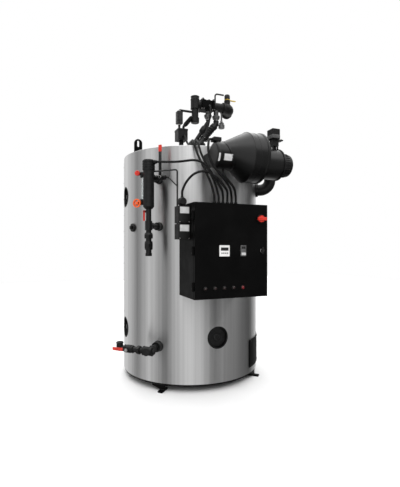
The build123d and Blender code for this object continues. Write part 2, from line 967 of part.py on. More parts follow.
with BuildPart() as column_lower_pipe:
    rod(at_column(0, 0, column_low), at_column(0, 0, drain_end_z), drain_pipe_r)
    cross_r = column_pipe_r + cross_rim
    rod(at_column(0, 0, lower_z - cross_half), at_column(0, 0, lower_z + cross_half), cross_r)
    rod(at_column(0, wall_y + coupling_sink, lower_z), at_column(0, 0, lower_z), drain_pipe_r)
    rod(at_column(0, cross_reach, lower_z), at_column(0, 0, lower_z), cross_r)
    rod(at_column(0, wall_y + coupling_sink, lower_z), at_column(0, wall_end, lower_z), coupling_r)
    union_face = Plane(origin=at_column(0, 0, drain_end_z))
    valve_foot = drain_plug_h + drain_nipple
    valve_head = valve_foot + drain_valve_h
    union_foot = valve_head + drain_nipple_high
    union_head = union_foot + drain_union_h
    fitting = (
        (drain_plug_r, 0),
        (drain_plug_r, drain_plug_h),
        (column_pipe_r, drain_plug_h),
        (column_pipe_r, valve_foot),
        (drain_valve_r - drain_valve_rim, valve_foot),
        (drain_valve_r, valve_foot + drain_valve_taper),
        (drain_valve_r, valve_head - drain_valve_taper),
        (drain_valve_r - drain_valve_rim, valve_head),
        (column_pipe_r, valve_head),
        (column_pipe_r, union_foot),
        (drain_union_r, union_foot),
        (drain_union_r, union_head),
        (drain_union_r - drain_union_rim, union_head + drain_union_taper),
    )
    turned(union_face, fitting)
    drain_cock_end = at_column(drain_cock_x - drain_cock_tail, 0, drain_cock_z)
    rod(at_column(0, 0, drain_cock_z), drain_cock_end, drain_cock_r)
    drain_stem_tip = at_column(drain_cock_x, -drain_stem_length, drain_cock_z)
    rod(at_column(drain_cock_x, 0, drain_cock_z), drain_stem_tip, gauge_stem_r)
    clear_jacket()
keep(column_lower_pipe, "column_lower_pipe")

with BuildPart() as drain_lever:
    with BuildSketch(column_plane(drain_cock_x, -drain_lever_seat, drain_cock_z, outward_dir, along_dir)):
        Circle(drain_lever_w / 2 + drain_lever_eye)
        with Locations((0, -drain_lever_length / 2)):
            Rectangle(drain_lever_w, drain_lever_length)
        Circle(gauge_stem_r + lever_gap, mode=Mode.SUBTRACT)
    extrude(amount=lever_t)
keep(drain_lever, "drain_lever")

# Gauge glass between two cocks
glass_low = cock_low_z + cock_r + seat_gap
glass_high = cock_high_z - cock_r - seat_gap
with BuildPart() as gauge_glass:
    rod(at_column(glass_x, 0, glass_low), at_column(glass_x, 0, glass_high), glass_r)
keep(gauge_glass, "gauge_glass")

with BuildPart() as gauge_cocks:
    for height, nut_low, knob_x in (
        (cock_high_z, cock_high_z - glass_nut_h, gauge_knob_x),
        (cock_low_z, cock_low_z, gauge_wheel_x),
    ):
        rod(at_column(-column_r + cock_lap, 0, height), at_column(-cock_reach, 0, height), cock_r)
        nut_high = nut_low + glass_nut_h
        rod(at_column(glass_x, 0, nut_low), at_column(glass_x, 0, nut_high), glass_r + glass_nut)
        rod(
            at_column(knob_x, 0, height),
            at_column(knob_x, -cock_r - gauge_stem_length, height),
            gauge_stem_r,
        )
    glass_room = glass_r + seat_gap
    rod(at_column(glass_x, 0, glass_low), at_column(glass_x, 0, glass_high), glass_room, Mode.SUBTRACT)
    turned(column, ((column_r + seat_gap, column_low), (column_r + seat_gap, column_high)), Mode.SUBTRACT)
keep(gauge_cocks, "gauge_cocks")

handle_y = -cock_r - gauge_stem_length + gauge_handle_seat
with BuildPart() as gauge_knob:
    knob_face = column_plane(gauge_knob_x, handle_y, cock_high_z, outward_dir, along_dir)
    knob_outline = (
        (gauge_knob_foot_r, 0),
        (gauge_knob_r, gauge_knob_round),
        (gauge_knob_r, gauge_knob_t - gauge_knob_round),
        (gauge_knob_crown_r, gauge_knob_t),
    )
    turned(knob_face, knob_outline)
    with Locations(knob_face.location):
        Cylinder(gauge_stem_r + lever_gap, 2 * (gauge_handle_seat + lever_gap), mode=Mode.SUBTRACT)
keep(gauge_knob, "gauge_knob")

with BuildPart() as gauge_wheel:
    wheel_face = column_plane(gauge_wheel_x, handle_y, cock_low_z, outward_dir, along_dir)
    with Locations(wheel_face.location):
        Cylinder(gauge_wheel_r, gauge_wheel_t, align=low)
        Cylinder(gauge_wheel_r - wheel_rim, gauge_wheel_t, align=low, mode=Mode.SUBTRACT)
        Cylinder(wheel_hub_r, gauge_wheel_t, align=low)
        for angle in spoke_turns:
            with Locations((0, 0, gauge_wheel_t / 2)):
                Box(2 * gauge_wheel_r - spoke_inset, spoke_w, spoke_t, rotation=(0, 0, angle))
        Cylinder(gauge_stem_r + lever_gap, 2 * (gauge_handle_seat + lever_gap), mode=Mode.SUBTRACT)
keep(gauge_wheel, "gauge_wheel")

# Blowdown line along the foot of the jacket, with its lever valve
blow = station(blow_azimuth, blow_circle)


def at_blow(x, y, z):
    """Point beside the blowdown tee."""
    return tuple(blow.from_local_coords((x, y, z)))


blow_wall = blow_circle - jacket_r
with BuildPart() as blowdown_pipe:
    blow_root = at_blow(0, blow_wall + blow_sink, blow_z)
    rod(blow_root, at_blow(0, blow_wall - coupling_length, blow_z), blow_coupling_r)
    rod(blow_root, at_blow(0, 0, blow_z), blow_pipe_r + blow_stub_step)
    run = Plane(origin=at_blow(0, 0, blow_z), x_dir=(0, 0, 1), z_dir=-blow.x_dir)
    valve_middle = -blow_valve_x
    union_end = blow_union_start + blow_union_w
    run_outline = (
        (blow_plug_r, -blow_tee_half - blow_plug_h),
        (blow_plug_r, -blow_tee_half),
        (blow_tee_r, -blow_tee_half),
        (blow_tee_r, blow_tee_half),
        (blow_pipe_r, blow_tee_half),
        (blow_pipe_r, blow_union_start),
        (blow_union_r, blow_union_start),
        (blow_union_r, union_end),
        (blow_pipe_r, union_end),
        (blow_pipe_r, valve_middle - blow_valve_half),
        (blow_valve_end_r, valve_middle - blow_valve_half),
        (blow_valve_end_r, valve_middle - blow_neck_half),
        (blow_valve_r, valve_middle - blow_body_half),
        (blow_valve_r, valve_middle + blow_body_half),
        (blow_valve_end_r, valve_middle + blow_neck_half),
        (blow_valve_end_r, valve_middle + blow_valve_half),
        (blow_pipe_r, valve_middle + blow_valve_half),
        (blow_pipe_r, -blow_end_x),
    )
    turned(run, run_outline)
    blow_face = at_blow(0, -blow_tee_half + blow_face_inset, blow_z)
    rod(blow_face, at_blow(0, 0, blow_z), blow_tee_r - blow_face_step)
    blow_stem_tip = at_blow(blow_valve_x, -blow_valve_r - blow_stem_length, blow_z)
    rod(at_blow(blow_valve_x, 0, blow_z), blow_stem_tip, column_stem_r)
    with Locations(at_blow(blow_end_x, 0, blow_z)):
        Sphere(blow_pipe_r + blow_elbow_rim)
    blow_mouth = at_blow(blow_end_x, 0, blow_z + blow_rise)
    rod(at_blow(blow_end_x, 0, blow_z), blow_mouth, blow_pipe_r + blow_elbow_rim)
    rod(at_blow(blow_end_x, 0, blow_z + blow_bore_floor), blow_mouth, blow_bore_r, Mode.SUBTRACT)
    clear_jacket()
keep(blowdown_pipe, "blowdown_pipe")

with BuildPart() as blowdown_lever:
    lever_seat = at_blow(blow_valve_x, -blow_valve_r - blow_lever_seat, blow_z)
    blow_lever_plane = Plane(origin=lever_seat, x_dir=blow.x_dir, z_dir=-blow.y_dir)
    with BuildSketch(blow_lever_plane):
        Circle(blow_lever_w / 2 + lever_eye)
        with Locations((-blow_lever_length / 2, 0)):
            Rectangle(blow_lever_length, blow_lever_w)
        Circle(column_stem_r + lever_gap, mode=Mode.SUBTRACT)
    extrude(amount=lever_t)
keep(blowdown_lever, "blowdown_lever")


def bent_tube(points, radius, bends):
    """Tube swept along straight runs joined by tangent arcs."""
    with BuildLine() as route:
        FilletPolyline(*points, radius=bends)
    with BuildSketch(Plane(origin=route.line @ 0, z_dir=route.line % 0)) as section:
        Circle(radius)
    sweep(section.sketch, path=route.line)


# Small-bore tube from the column to the two pressure switches, with room behind them for its bend
side_x = (switch_mid_x - column.origin.X) / column.x_dir.X
side_y = at_column(side_x, 0, 0)[1]
drop = Vector(switch_mid_x, max(side_y, switch_back + 2 * tube_bend), 0)
tube_start = column.origin + (drop - column.origin).normalized() * (column_r + seat_gap)
tube_z = upper_z + tube_rise
tube_upper_entry = switch_upper_low + tube_entry_rise
tube_lower_entry = switch_lower_low + tube_entry_rise
with BuildPart() as pressure_tube:
    tube_points = (
        (tube_start.X, tube_start.Y, tube_z),
        (drop.X, drop.Y, tube_z),
        (drop.X, drop.Y, tube_lower_entry),
        (drop.X, switch_back, tube_lower_entry),
    )
    bent_tube(tube_points, tube_r, tube_bend)
    rod((drop.X, drop.Y, tube_upper_entry), (drop.X, switch_back, tube_upper_entry), tube_r)
    branch = at_column(valve_end_x, column_stem_y, upper_z)
    branch_corner = at_column(valve_end_x + branch_reach, column_stem_y, upper_z)
    bent_tube((branch, branch_corner, (drop.X, drop.Y, upper_z - branch_fall)), branch_r, tube_bend)
keep(pressure_tube, "pressure_tube")

# Combustion air: duct into the jacket, mitred cone and drum, fan with its damper drive
blower = Plane(origin=(0, blower_y, blower_z), x_dir=(0, 0, 1), z_dir=(1, 0, 0))
fan = Plane(origin=(0, fan_y, fan_z), x_dir=(0, 0, 1), z_dir=(1, 0, 0))
mitre_lean = atan2(mitre_bottom - mitre_top, 2 * duct_r)
mitre_half = hypot(duct_r, (mitre_bottom - mitre_top) / 2)
mitre = Plane(
    origin=((mitre_top + mitre_bottom) / 2, blower_y, blower_z),
    x_dir=(0, 1, 0),
    z_dir=(cos(mitre_lean), 0, sin(mitre_lean)),
)

with BuildPart() as air_duct:
    turned(blower, ((duct_r, duct_left), (duct_r, mitre_bottom)))
    fillet(air_duct.edges().sort_by(Axis.X)[0], duct_round)
    with Locations(mitre.location):
        Box(4 * duct_r, 4 * duct_r, 2 * duct_r, align=low, mode=Mode.SUBTRACT)
    with BuildSketch(mitre):
        Ellipse(duct_r + mitre_band, mitre_half + mitre_band)
    extrude(amount=-mitre_band_w)
    throat_x = mitre_top - throat_inset
    with BuildSketch(Plane(origin=(throat_x, blower_y, blower_z), x_dir=(1, 0, 0), z_dir=(0, 1, 0))):
        RectangleRounded(throat_w, throat_h, throat_corner)
    extrude(amount=-blower_y - jacket_r + throat_sink)
    clear_jacket()
keep(air_duct, "air_duct")

with BuildPart() as air_drum:
    with BuildSketch(mitre):
        Ellipse(duct_r, mitre_half)
    with BuildSketch(Plane(origin=(drum_left, blower_y, blower_z), x_dir=(0, 1, 0), z_dir=(1, 0, 0))):
        Circle(drum_r)
    loft()
    lip_r = drum_r + drum_lip
    drum_outline = (
        (drum_r, drum_left),
        (drum_r, drum_right - drum_lip_t - drum_lip),
        (lip_r, drum_right - drum_lip_t),
        (lip_r, drum_right),
    )
    turned(blower, drum_outline)
keep(air_drum, "air_drum")

with BuildPart() as fan_housing:
    turned(fan, ((fan_r, drum_right), (fan_r, fan_right)))
    fillet(fan_housing.edges().sort_by(Axis.X)[-1], fan_round)
keep(fan_housing, "fan_housing")

with BuildPart() as fan_motor:
    turned(fan, ((motor_r, fan_right), (motor_r, motor_right)))
    fillet(fan_motor.edges().sort_by(Axis.X)[-1], motor_round)
keep(fan_motor, "fan_motor")


def clear_fan():
    """Cuts the seat that follows the round fan housing."""
    turned(fan, ((fan_r + seat_gap, drum_right), (fan_r + seat_gap, fan_right)), Mode.SUBTRACT)


with BuildPart() as damper_actuator:
    half = actuator_depth / 2
    box_low = plate_z + plate_t
    block((actuator_left, fan_y - half, box_low), (actuator_right, fan_y + half, box_low + actuator_h))
    fillet(damper_actuator.edges().filter_by(Axis.Z), actuator_round)
    fillet(damper_actuator.faces().sort_by(Axis.Z)[-1].edges(), actuator_top_round)
    half = plate_depth / 2
    block((plate_left, fan_y - half, plate_z), (plate_right, fan_y + half, box_low))
    half = pedestal_depth / 2
    pedestal_low = plate_z - pedestal_h
    block((plate_left, fan_y - half, pedestal_low), (pedestal_right, fan_y + half, plate_z))
    for post_x in (plate_left + post_r, pedestal_right - post_r):
        for post_y in (fan_y - half + post_r, fan_y + half - post_r):
            rod((post_x, post_y, fan_z), (post_x, post_y, pedestal_low), post_r)
    stem_x = (plate_left + pedestal_right) / 2
    rod((stem_x, fan_y, fan_z), (stem_x, fan_y, pedestal_low), damper_stem_r)
    clear_fan()
keep(damper_actuator, "damper_actuator")

with BuildPart() as recirculation_pipe:
    wall = outward(recirc_azimuth, jacket_r, fan_z - recirc_drop)
    leg_low = wall.offset(recirc_standoff).origin
    leg_high = Vector(leg_low.X, leg_low.Y, fan_z + recirc_rise)
    fan_end = Vector(recirc_fan_x, fan_y, fan_z + recirc_rise)
    recirc_points = (fan_end, leg_high, leg_low, wall.offset(-recirc_sink).origin)
    bent_tube(recirc_points, recirc_r, (recirc_fan_bend, recirc_wall_bend))
    with Locations(wall.offset(-recirc_sink).location):
        Cylinder(recirc_collar_r, recirc_sink + recirc_collar_t, align=low)
    clear_fan()
    clear_jacket()
keep(recirculation_pipe, "recirculation_pipe")

with BuildPart() as air_switch:
    switch_low = blower_z + duct_r + seat_gap
    switch_right = mitre_top - air_switch_inset
    block(
        (switch_right - air_switch_w, blower_y - air_switch_depth / 2, switch_low),
        (switch_right, blower_y + air_switch_depth / 2, switch_low + air_switch_h),
    )
    fillet(air_switch.faces().sort_by(Axis.Z)[-1].edges(), air_switch_round)
keep(air_switch, "air_switch")

# Gas train on the cover
gas_head = Plane(origin=(0, gas_y, 0))


def burner_shape(room, mode):
    """Burner head standing on the cover, or the room that it takes."""
    head_outline = (
        (head_r + head_rim + room, jacket_top),
        (head_r + head_rim + room, jacket_top + head_rim_t),
        (head_r + room, jacket_top + head_rim_t),
        (head_r + room, head_top - head_shoulder),
        (head_r - head_taper + room, head_top + room),
    )
    turned(gas_head, head_outline, mode)


with BuildPart() as burner_head:
    burner_shape(0, Mode.ADD)
keep(burner_head, "burner_head")

with BuildPart() as gas_inlet_tee:
    tee = Plane(origin=(tee_x, gas_y, 0))
    tee_outline = (
        (tee_band_r - tee_foot_step, tee_low),
        (tee_band_r, tee_low + tee_foot_h),
        (tee_band_r, tee_low + tee_foot_band),
        (tee_r, tee_low + tee_foot_band),
        (tee_r, gas_z - tee_collar_below),
        (tee_band_r + tee_collar_step, gas_z - tee_collar_below),
        (tee_band_r + tee_collar_step, gas_z + tee_collar_above),
        (tee_r, gas_z + tee_collar_above),
        (tee_r, tee_high - tee_band_h),
        (tee_band_r, tee_high - tee_band_h),
        (tee_band_r, tee_high),
    )
    turned(tee, tee_outline)
    rod((tee_x, gas_y, gas_z), (valve_left, gas_y, gas_z), tee_r + tee_branch_step)
    rod((tee_x, gas_y, tee_high - tee_bore_depth), (tee_x, gas_y, tee_high), tee_bore_r, Mode.SUBTRACT)
    pilot_z = pilot_valve_high + pilot_bend_room
    pilot_points = (
        (tee_x, gas_y, pilot_z),
        (pilot_valve_x, gas_y, pilot_z),
        (pilot_valve_x, gas_y, pilot_valve_high),
    )
    bent_tube(pilot_points, pilot_r, pilot_bend)
    hose_points = (
        (tee_x, gas_y, tee_low + hose_rise),
        (hose_x, gas_y, ignition_high + hose_foot),
        (hose_x, gas_y, ignition_high),
    )
    bent_tube(hose_points, hose_r, hose_bend)
keep(gas_inlet_tee, "gas_inlet_tee")

with BuildPart() as gas_valve:
    block((valve_left, gas_y - valve_half, valve_low), (valve_right, gas_y + valve_half, valve_high))
    for flange_x in (valve_left, valve_right - valve_flange_t):
        with Locations((flange_x, gas_y, gas_z)):
            Box(valve_flange_t, valve_flange, valve_flange, align=(Align.MIN, Align.CENTER, Align.CENTER))
    for stud_x in (valve_left + stud_inset, valve_right - stud_inset):
        rod((stud_x, gas_y, valve_high), (stud_x, gas_y, valve_high + stud_h), stud_r)
keep(gas_valve, "gas_valve")

with BuildPart() as gas_main:
    rod((valve_right, gas_y, gas_z), (elbow_start, gas_y, gas_z), main_r)
    foot_x = elbow_start + elbow_bend
    elbow_end_y = gas_y + elbow_reach
    bend_points = (
        (elbow_start - elbow_lap, gas_y, gas_z),
        (foot_x, gas_y, gas_z),
        (foot_x, elbow_end_y, gas_z),
    )
    bent_tube(bend_points, elbow_r, elbow_bend)
    rod((foot_x, elbow_end_y - elbow_rim_t, gas_z), (foot_x, elbow_end_y, gas_z), elbow_r + elbow_rim)
    rod((cock_x, gas_y, gas_z), (cock_x, gas_y, cock_top_z), cock_body_r)
    rod((cock_x, gas_y, gas_z), (cock_x, gas_y, cock_top_z + cock_stem_h), column_stem_r)
    vent_x = valve_right + vent_offset
    vent_points = (
        (vent_x, gas_y, gas_z),
        (vent_x, gas_y, gas_z + vent_rise),
        (vent_x + vent_reach, gas_y, gas_z + vent_rise),
    )
    bent_tube(vent_points, vent_r, vent_bend)
keep(gas_main, "gas_main")

with BuildPart() as gas_cock_lever:
    lever_low = cock_top_z + lever_gap
    with BuildSketch(Plane(origin=(cock_x, gas_y, lever_low))):
        Circle(cock_cap_r)
        with Locations((gas_lever_length / 2, 0)):
            Rectangle(gas_lever_length, gas_lever_w)
    extrude(amount=gas_lever_t)
    cap_outline = (
        (cock_cap_r, 0),
        (cock_cap_r, cock_cap_h - cock_cap_taper_h),
        (cock_cap_r - cock_cap_taper, cock_cap_h),
    )
    turned(Plane(origin=(cock_x, gas_y, lever_low)), cap_outline)
    stem_room = (cock_x, gas_y, cock_top_z + cock_stem_h + lever_gap)
    rod((cock_x, gas_y, cock_top_z), stem_room, column_stem_r + lever_gap, Mode.SUBTRACT)
keep(gas_cock_lever, "gas_cock_lever")

with BuildPart() as gas_regulators:
    for regulator_x, seat in zip(regulator_xs, (valve_low, gas_z)):
        regulator = Plane(origin=(regulator_x, gas_y, 0))
        cup_low = regulator_low + regulator_foot_h
        lip_low = regulator_low + regulator_cup_h
        lip_high = lip_low + regulator_lip_t
        outline = (
            (regulator_foot_r, regulator_low),
            (regulator_foot_r, cup_low),
            (regulator_r, cup_low + regulator_taper),
            (regulator_r + regulator_lip, lip_low),
            (regulator_r + regulator_lip, lip_high),
            (regulator_neck_r, lip_high + regulator_neck_taper),
            (regulator_neck_r, seat),
        )
        turned(regulator, outline)
    rod((valve_right, gas_y, gas_z), (elbow_start, gas_y, gas_z), main_r + seat_gap, Mode.SUBTRACT)
keep(gas_regulators, "gas_regulators")

with BuildPart() as gas_drop_pipes:
    drops = ((regulator_xs[1], drop_r, drop_end_x), (regulator_xs[0], drop_b_r, drop_b_end_x))
    for start_x, radius, end_x in drops:
        elbow = Vector(start_x, gas_y, regulator_low - radius - drop_neck)
        target = Vector(end_x, gas_y, head_top - drop_sink)
        rod((start_x, gas_y, regulator_low), elbow, radius)
        with Locations(elbow):
            Sphere(radius)
        rod(elbow, target, radius)
        if radius == drop_r:
            slant = target - elbow
            for share in drop_rib_shares:
                rib = elbow + slant * share
                rod(rib, rib + slant.normalized() * drop_rib, radius + drop_rib)
    burner_shape(seat_gap, Mode.SUBTRACT)
keep(gas_drop_pipes, "gas_drop_pipes")

with BuildPart() as gas_pressure_switch:
    gas_switch_low = gas_z - gas_switch_drop
    switch_plane = Plane(origin=(valve_right + gas_switch_offset, gas_y, gas_switch_low))
    neck_low = gas_switch_h + gas_switch_taper
    neck_high = neck_low + gas_switch_neck_h
    outline = (
        (gas_switch_r - gas_switch_round, 0),
        (gas_switch_r, gas_switch_round),
        (gas_switch_r, gas_switch_h),
        (gas_switch_neck_r, neck_low),
        (gas_switch_neck_r, neck_high),
        (gas_switch_pipe_r, neck_high + gas_switch_pipe_taper),
        (gas_switch_pipe_r, gas_switch_drop),
    )
    turned(switch_plane, outline)
    rod((valve_right, gas_y, gas_z), (elbow_start, gas_y, gas_z), main_r + seat_gap, Mode.SUBTRACT)
keep(gas_pressure_switch, "gas_pressure_switch")

with BuildPart() as pilot_valve:
    half = pilot_valve_w / 2
    block(
        (pilot_valve_x - half, gas_y - half, pilot_valve_low),
        (pilot_valve_x + half, gas_y + half, pilot_valve_high),
    )
    chamfer(pilot_valve.edges().filter_by(Axis.Z), pilot_valve_chamfer)
keep(pilot_valve, "pilot_valve")

with BuildPart() as ignition_box:
    half = ignition_w / 2
    deep = ignition_depth / 2
    block(
        (ignition_x - half, gas_y - deep, ignition_low),
        (ignition_x + half, gas_y + deep, ignition_high),
    )
    fillet(ignition_box.edges().filter_by(Axis.Z), ignition_round)
    half = ignition_post_w / 2
    deep = ignition_post_depth / 2
    block((ignition_x - half, gas_y - deep, jacket_top), (ignition_x + half, gas_y + deep, ignition_low))
    deep = ignition_foot_depth / 2
    block(
        (ignition_x - ignition_foot_left, gas_y - deep, jacket_top),
        (ignition_x + ignition_foot_right, gas_y + deep, jacket_top + ignition_foot_t),
    )
    rod((pilot_valve_x, gas_y, ignition_high), (pilot_valve_x, gas_y, pilot_valve_low), pilot_r)
keep(ignition_box, "ignition_box")


def lead_bends(points):
    """Largest tangent arc at each corner of a lead's route."""
    bends = []
    for before, here, after in zip(points, points[1:], points[2:]):
        come = Vector(*here) - Vector(*before)
        leave = Vector(*after) - Vector(*here)
        turn = radians(come.get_angle(leave))
        bends.append(lead_arc_share * min(come.length, leave.length) / tan(turn / 2))
    return bends


# Leads from the cabinet's glands to the housings that they serve
gland_exit = gland_top + lead_exit
valve_front = gas_y - valve_half
ignition_front = gas_y - ignition_depth / 2
air_switch_left = switch_right - air_switch_w
lead_ignition = [
    (gland_xs[0], gland_y, gland_top),
    (gland_xs[0], gland_y, gland_exit),
    (-128, -760, 1575),
    (-150, -722, 1660),
    (-172, -680, 1745),
    (-196, -640, 1830),
    (-208, -618, 1905),
    (-198, -560, 1946),
    (-175, -480, 1940),
    (-156, -390, 1948),
    (-146, -310, 1985),
    (-143, -262, 2036),
    (-143, -240, 2072),
    (-143, ignition_front, 2072),
]
lead_gas_valve = [
    (gland_xs[1], gland_y, gland_top),
    (gland_xs[1], gland_y, gland_exit),
    (-95, -760, 1575),
    (-115, -722, 1660),
    (-138, -676, 1745),
    (-162, -638, 1830),
    (-176, -622, 1905),
    (-166, -562, 1948),
    (-140, -480, 1942),
    (-95, -400, 1955),
    (-35, -335, 2000),
    (25, -290, 2080),
    (66, -270, 2180),
    (88, -262, 2280),
    (93, -240, 2362),
    (93, valve_front, 2362),
]
lead_probe = [
    at_column(column_cap_r + seat_gap, 0, 1745),
    at_column(column_cap_r + 35, 0, 1745),
    at_column(135, 3, 1740),
    at_column(188, 8, 1736),
    at_column(240, 15, 1735),
    at_column(290, 26, 1739),
    at_column(336, 48, 1746),
    at_column(378, 74, 1740),
    at_column(418, 92, 1714),
    at_column(455, 100, 1660),
    at_column(493, 108, 1598),
    at_column(525, 145, 1530),
    (gland_xs[2], gland_y, gland_exit),
    (gland_xs[2], gland_y, gland_top),
]
lead_switches = [
    (switch_mid_x, switch_mid_y, hub_top),
    (switch_mid_x, switch_mid_y, 1508),
    (-350, -820, 1568),
    (-306, -834, 1622),
    (-250, -842, 1650),
    (-188, -846, 1648),
    (-128, -846, 1612),
    (-70, -834, 1564),
    (-22, -806, 1530),
    (gland_xs[3], gland_y, gland_exit),
    (gland_xs[3], gland_y, gland_top),
]
lead_air_switch = [
    (air_switch_left, blower_y, 1886),
    (air_switch_left - 24, blower_y, 1886),
    (-190, -842, 1846),
    (-198, -858, 1795),
    (-192, -866, 1748),
    (-170, -868, 1700),
    (-124, -866, 1650),
    (-66, -852, 1602),
    (-4, -818, 1546),
    (gland_xs[4], gland_y, gland_exit),
    (gland_xs[4], gland_y, gland_top),
]
lead_fan = [
    (-64, blower_y, blower_z - duct_r - seat_gap),
    (-64, blower_y, 1650),
    (-44, -832, 1612),
    (-4, -832, 1576),
    (36, -812, 1540),
    (gland_xs[5], gland_y, gland_exit),
    (gland_xs[5], gland_y, gland_top),
]
with BuildPart() as leads:
    for route in (lead_ignition, lead_gas_valve, lead_probe, lead_switches, lead_air_switch, lead_fan):
        bends = lead_bends(route)
        print("lead bends", [round(bend) for bend in bends])
        bent_tube(route, lead_r, bends)
keep(leads, "leads")
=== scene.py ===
# %% [markdown]
# # A vertical packaged boiler
# The mechanical model of the boiler is finished and stays as it is: every solid already has its real size
# and place. This lesson dresses it. Solids that are right get a finish, and small hardware, labels and weld
# beads are added as meshes that ride on the body that carries them.

# %% Load the mechanical model
import math
import bmesh
import bpy
from mathutils import Matrix, Vector
from mathutils.bvhtree import BVHTree


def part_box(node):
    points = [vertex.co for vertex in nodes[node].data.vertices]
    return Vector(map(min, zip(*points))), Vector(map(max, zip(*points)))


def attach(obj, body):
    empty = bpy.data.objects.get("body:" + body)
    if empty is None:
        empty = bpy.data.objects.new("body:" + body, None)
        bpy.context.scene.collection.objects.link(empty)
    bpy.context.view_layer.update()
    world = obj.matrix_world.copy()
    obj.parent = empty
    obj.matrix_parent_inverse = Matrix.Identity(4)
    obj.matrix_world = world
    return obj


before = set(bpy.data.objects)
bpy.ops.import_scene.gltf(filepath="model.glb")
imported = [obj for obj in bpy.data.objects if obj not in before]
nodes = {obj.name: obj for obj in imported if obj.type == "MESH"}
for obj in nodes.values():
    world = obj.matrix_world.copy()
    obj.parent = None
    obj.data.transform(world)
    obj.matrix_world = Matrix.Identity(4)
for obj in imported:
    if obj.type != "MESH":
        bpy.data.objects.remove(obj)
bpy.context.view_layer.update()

scene = bpy.context.scene

# %% [markdown]
# ## The camera
# The view is from a little left of the cabinet, level, about three and a half metres from the boiler's axis.
# A level camera keeps the jacket's sides upright, so the view is set by turning the camera and never by
# tilting it. A small vertical shift sets the height of the horizon in the picture.

# %% Camera
camera_place = (-1.261, -3.266, 1.132)
camera_turn = -22.58
sensor_mm = 36
lens_mm = 27.97
horizon_shift = 0.0041
camera_data = bpy.data.cameras.new("camera")
camera_data.sensor_width = sensor_mm
camera_data.lens = lens_mm
camera_data.shift_y = horizon_shift
camera = bpy.data.objects.new("camera", camera_data)
camera.location = camera_place
camera.rotation_euler = (math.radians(90), 0, math.radians(camera_turn))
scene.collection.objects.link(camera)
scene.camera = camera
scene.view_settings.view_transform = "Standard"
print("camera at", camera_place)

# %% [markdown]
# ## Studio surroundings
# Polished sheet metal shows what surrounds it, so the light comes mostly from the world: a ring of soft
# panels and gaps, laid out by compass direction. The jacket then shows upright bands as it does in a photo
# studio. The world is brighter overhead and dark well below the horizon, which models the black drum and
# pipes from a light top to a deep underside. Camera rays see plain white instead, which gives the white
# backdrop.

# %% World
studio_panels = (
    (-180, 0.78), (-158, 0.86), (-136, 0.62), (-120, 0.26), (-106, 0.60), (-93, 0.90), (-78, 0.56),
    (-63, 0.25), (-46, 0.70), (-28, 0.98), (-10, 0.92), (7, 0.56), (19, 0.16), (29, 0.36), (46, 0.26),
    (66, 0.17), (100, 0.07), (116, 0.42), (130, 0.82), (155, 0.74), (180, 0.78),
)
studio_heights = ((-1.0, 0.10), (-0.75, 0.15), (-0.45, 0.98), (0.0, 0.95), (0.4, 1.15), (0.8, 1.6))
world = bpy.data.worlds.new("studio")
world.use_nodes = True
scene.world = world
sky = world.node_tree
sky.nodes.clear()


def sky_node(kind, **settings):
    """Adds a node to the world and sets its plain properties."""
    node = sky.nodes.new(kind)
    for key, value in settings.items():
        setattr(node, key, value)
    return node


def level_ramp(levels):
    """Ramp through grey levels, given as (place from 0 to 1, level)."""
    ramp = sky_node("ShaderNodeValToRGB")
    ramp.color_ramp.interpolation = "EASE"
    stops = ramp.color_ramp.elements
    for index, (place, level) in enumerate(levels):
        stop = stops[index] if index < 2 else stops.new(place)
        stop.position = place
        stop.color = (level, level, level, 1)
    return ramp


direction = sky_node("ShaderNodeTexCoord")
axes = sky_node("ShaderNodeSeparateXYZ")
towards = sky_node("ShaderNodeMath", operation="MULTIPLY")
towards.inputs[1].default_value = -1
compass = sky_node("ShaderNodeMath", operation="ARCTAN2")
turn = sky_node("ShaderNodeMapRange")
turn.inputs["From Min"].default_value = -math.pi
turn.inputs["From Max"].default_value = math.pi
rise = sky_node("ShaderNodeMapRange")
rise.inputs["From Min"].default_value = -1
ring = level_ramp([((azimuth + 180) / 360, level) for azimuth, level in studio_panels])
height = level_ramp([((z + 1) / 2, level) for z, level in studio_heights])
lighting = sky_node("ShaderNodeBackground")
backdrop = sky_node("ShaderNodeBackground")
backdrop.inputs["Color"].default_value = (1, 1, 1, 1)
rays = sky_node("ShaderNodeLightPath")
choose = sky_node("ShaderNodeMixShader")
out = sky_node("ShaderNodeOutputWorld")
for start, end in (
    (direction.outputs["Generated"], axes.inputs["Vector"]),
    (axes.outputs["Y"], towards.inputs[0]),
    (axes.outputs["X"], compass.inputs[0]),
    (towards.outputs["Value"], compass.inputs[1]),
    (compass.outputs["Value"], turn.inputs["Value"]),
    (turn.outputs["Result"], ring.inputs["Fac"]),
    (ring.outputs["Color"], lighting.inputs["Color"]),
    (axes.outputs["Z"], rise.inputs["Value"]),
    (rise.outputs["Result"], height.inputs["Fac"]),
    (height.outputs["Color"], lighting.inputs["Strength"]),
    (rays.outputs["Is Camera Ray"], choose.inputs["Fac"]),
    (lighting.outputs["Background"], choose.inputs[1]),
    (backdrop.outputs["Background"], choose.inputs[2]),
    (choose.outputs["Shader"], out.inputs["Surface"]),
):
    sky.links.new(start, end)
print("world stops:", len(studio_panels))

# %% [markdown]
# ## Lamps and floor
# A very soft lamp straight overhead makes the floor as white as the backdrop and leaves only a shadow close
# to the feet. One weak panel from the front left lifts the black pieces. Panel and floor are kept out of
# reflections, so the bands on the jacket run down to its foot.

# %% Lamps and floor
overhead_power = 2.6
overhead_spread = 110
overhead_tilt = 14
overhead = bpy.data.lights.new("overhead", "SUN")
overhead.energy = overhead_power
overhead.angle = math.radians(overhead_spread)
overhead_lamp = bpy.data.objects.new("overhead", overhead)
overhead_lamp.rotation_euler = (0, math.radians(overhead_tilt), 0)
scene.collection.objects.link(overhead_lamp)

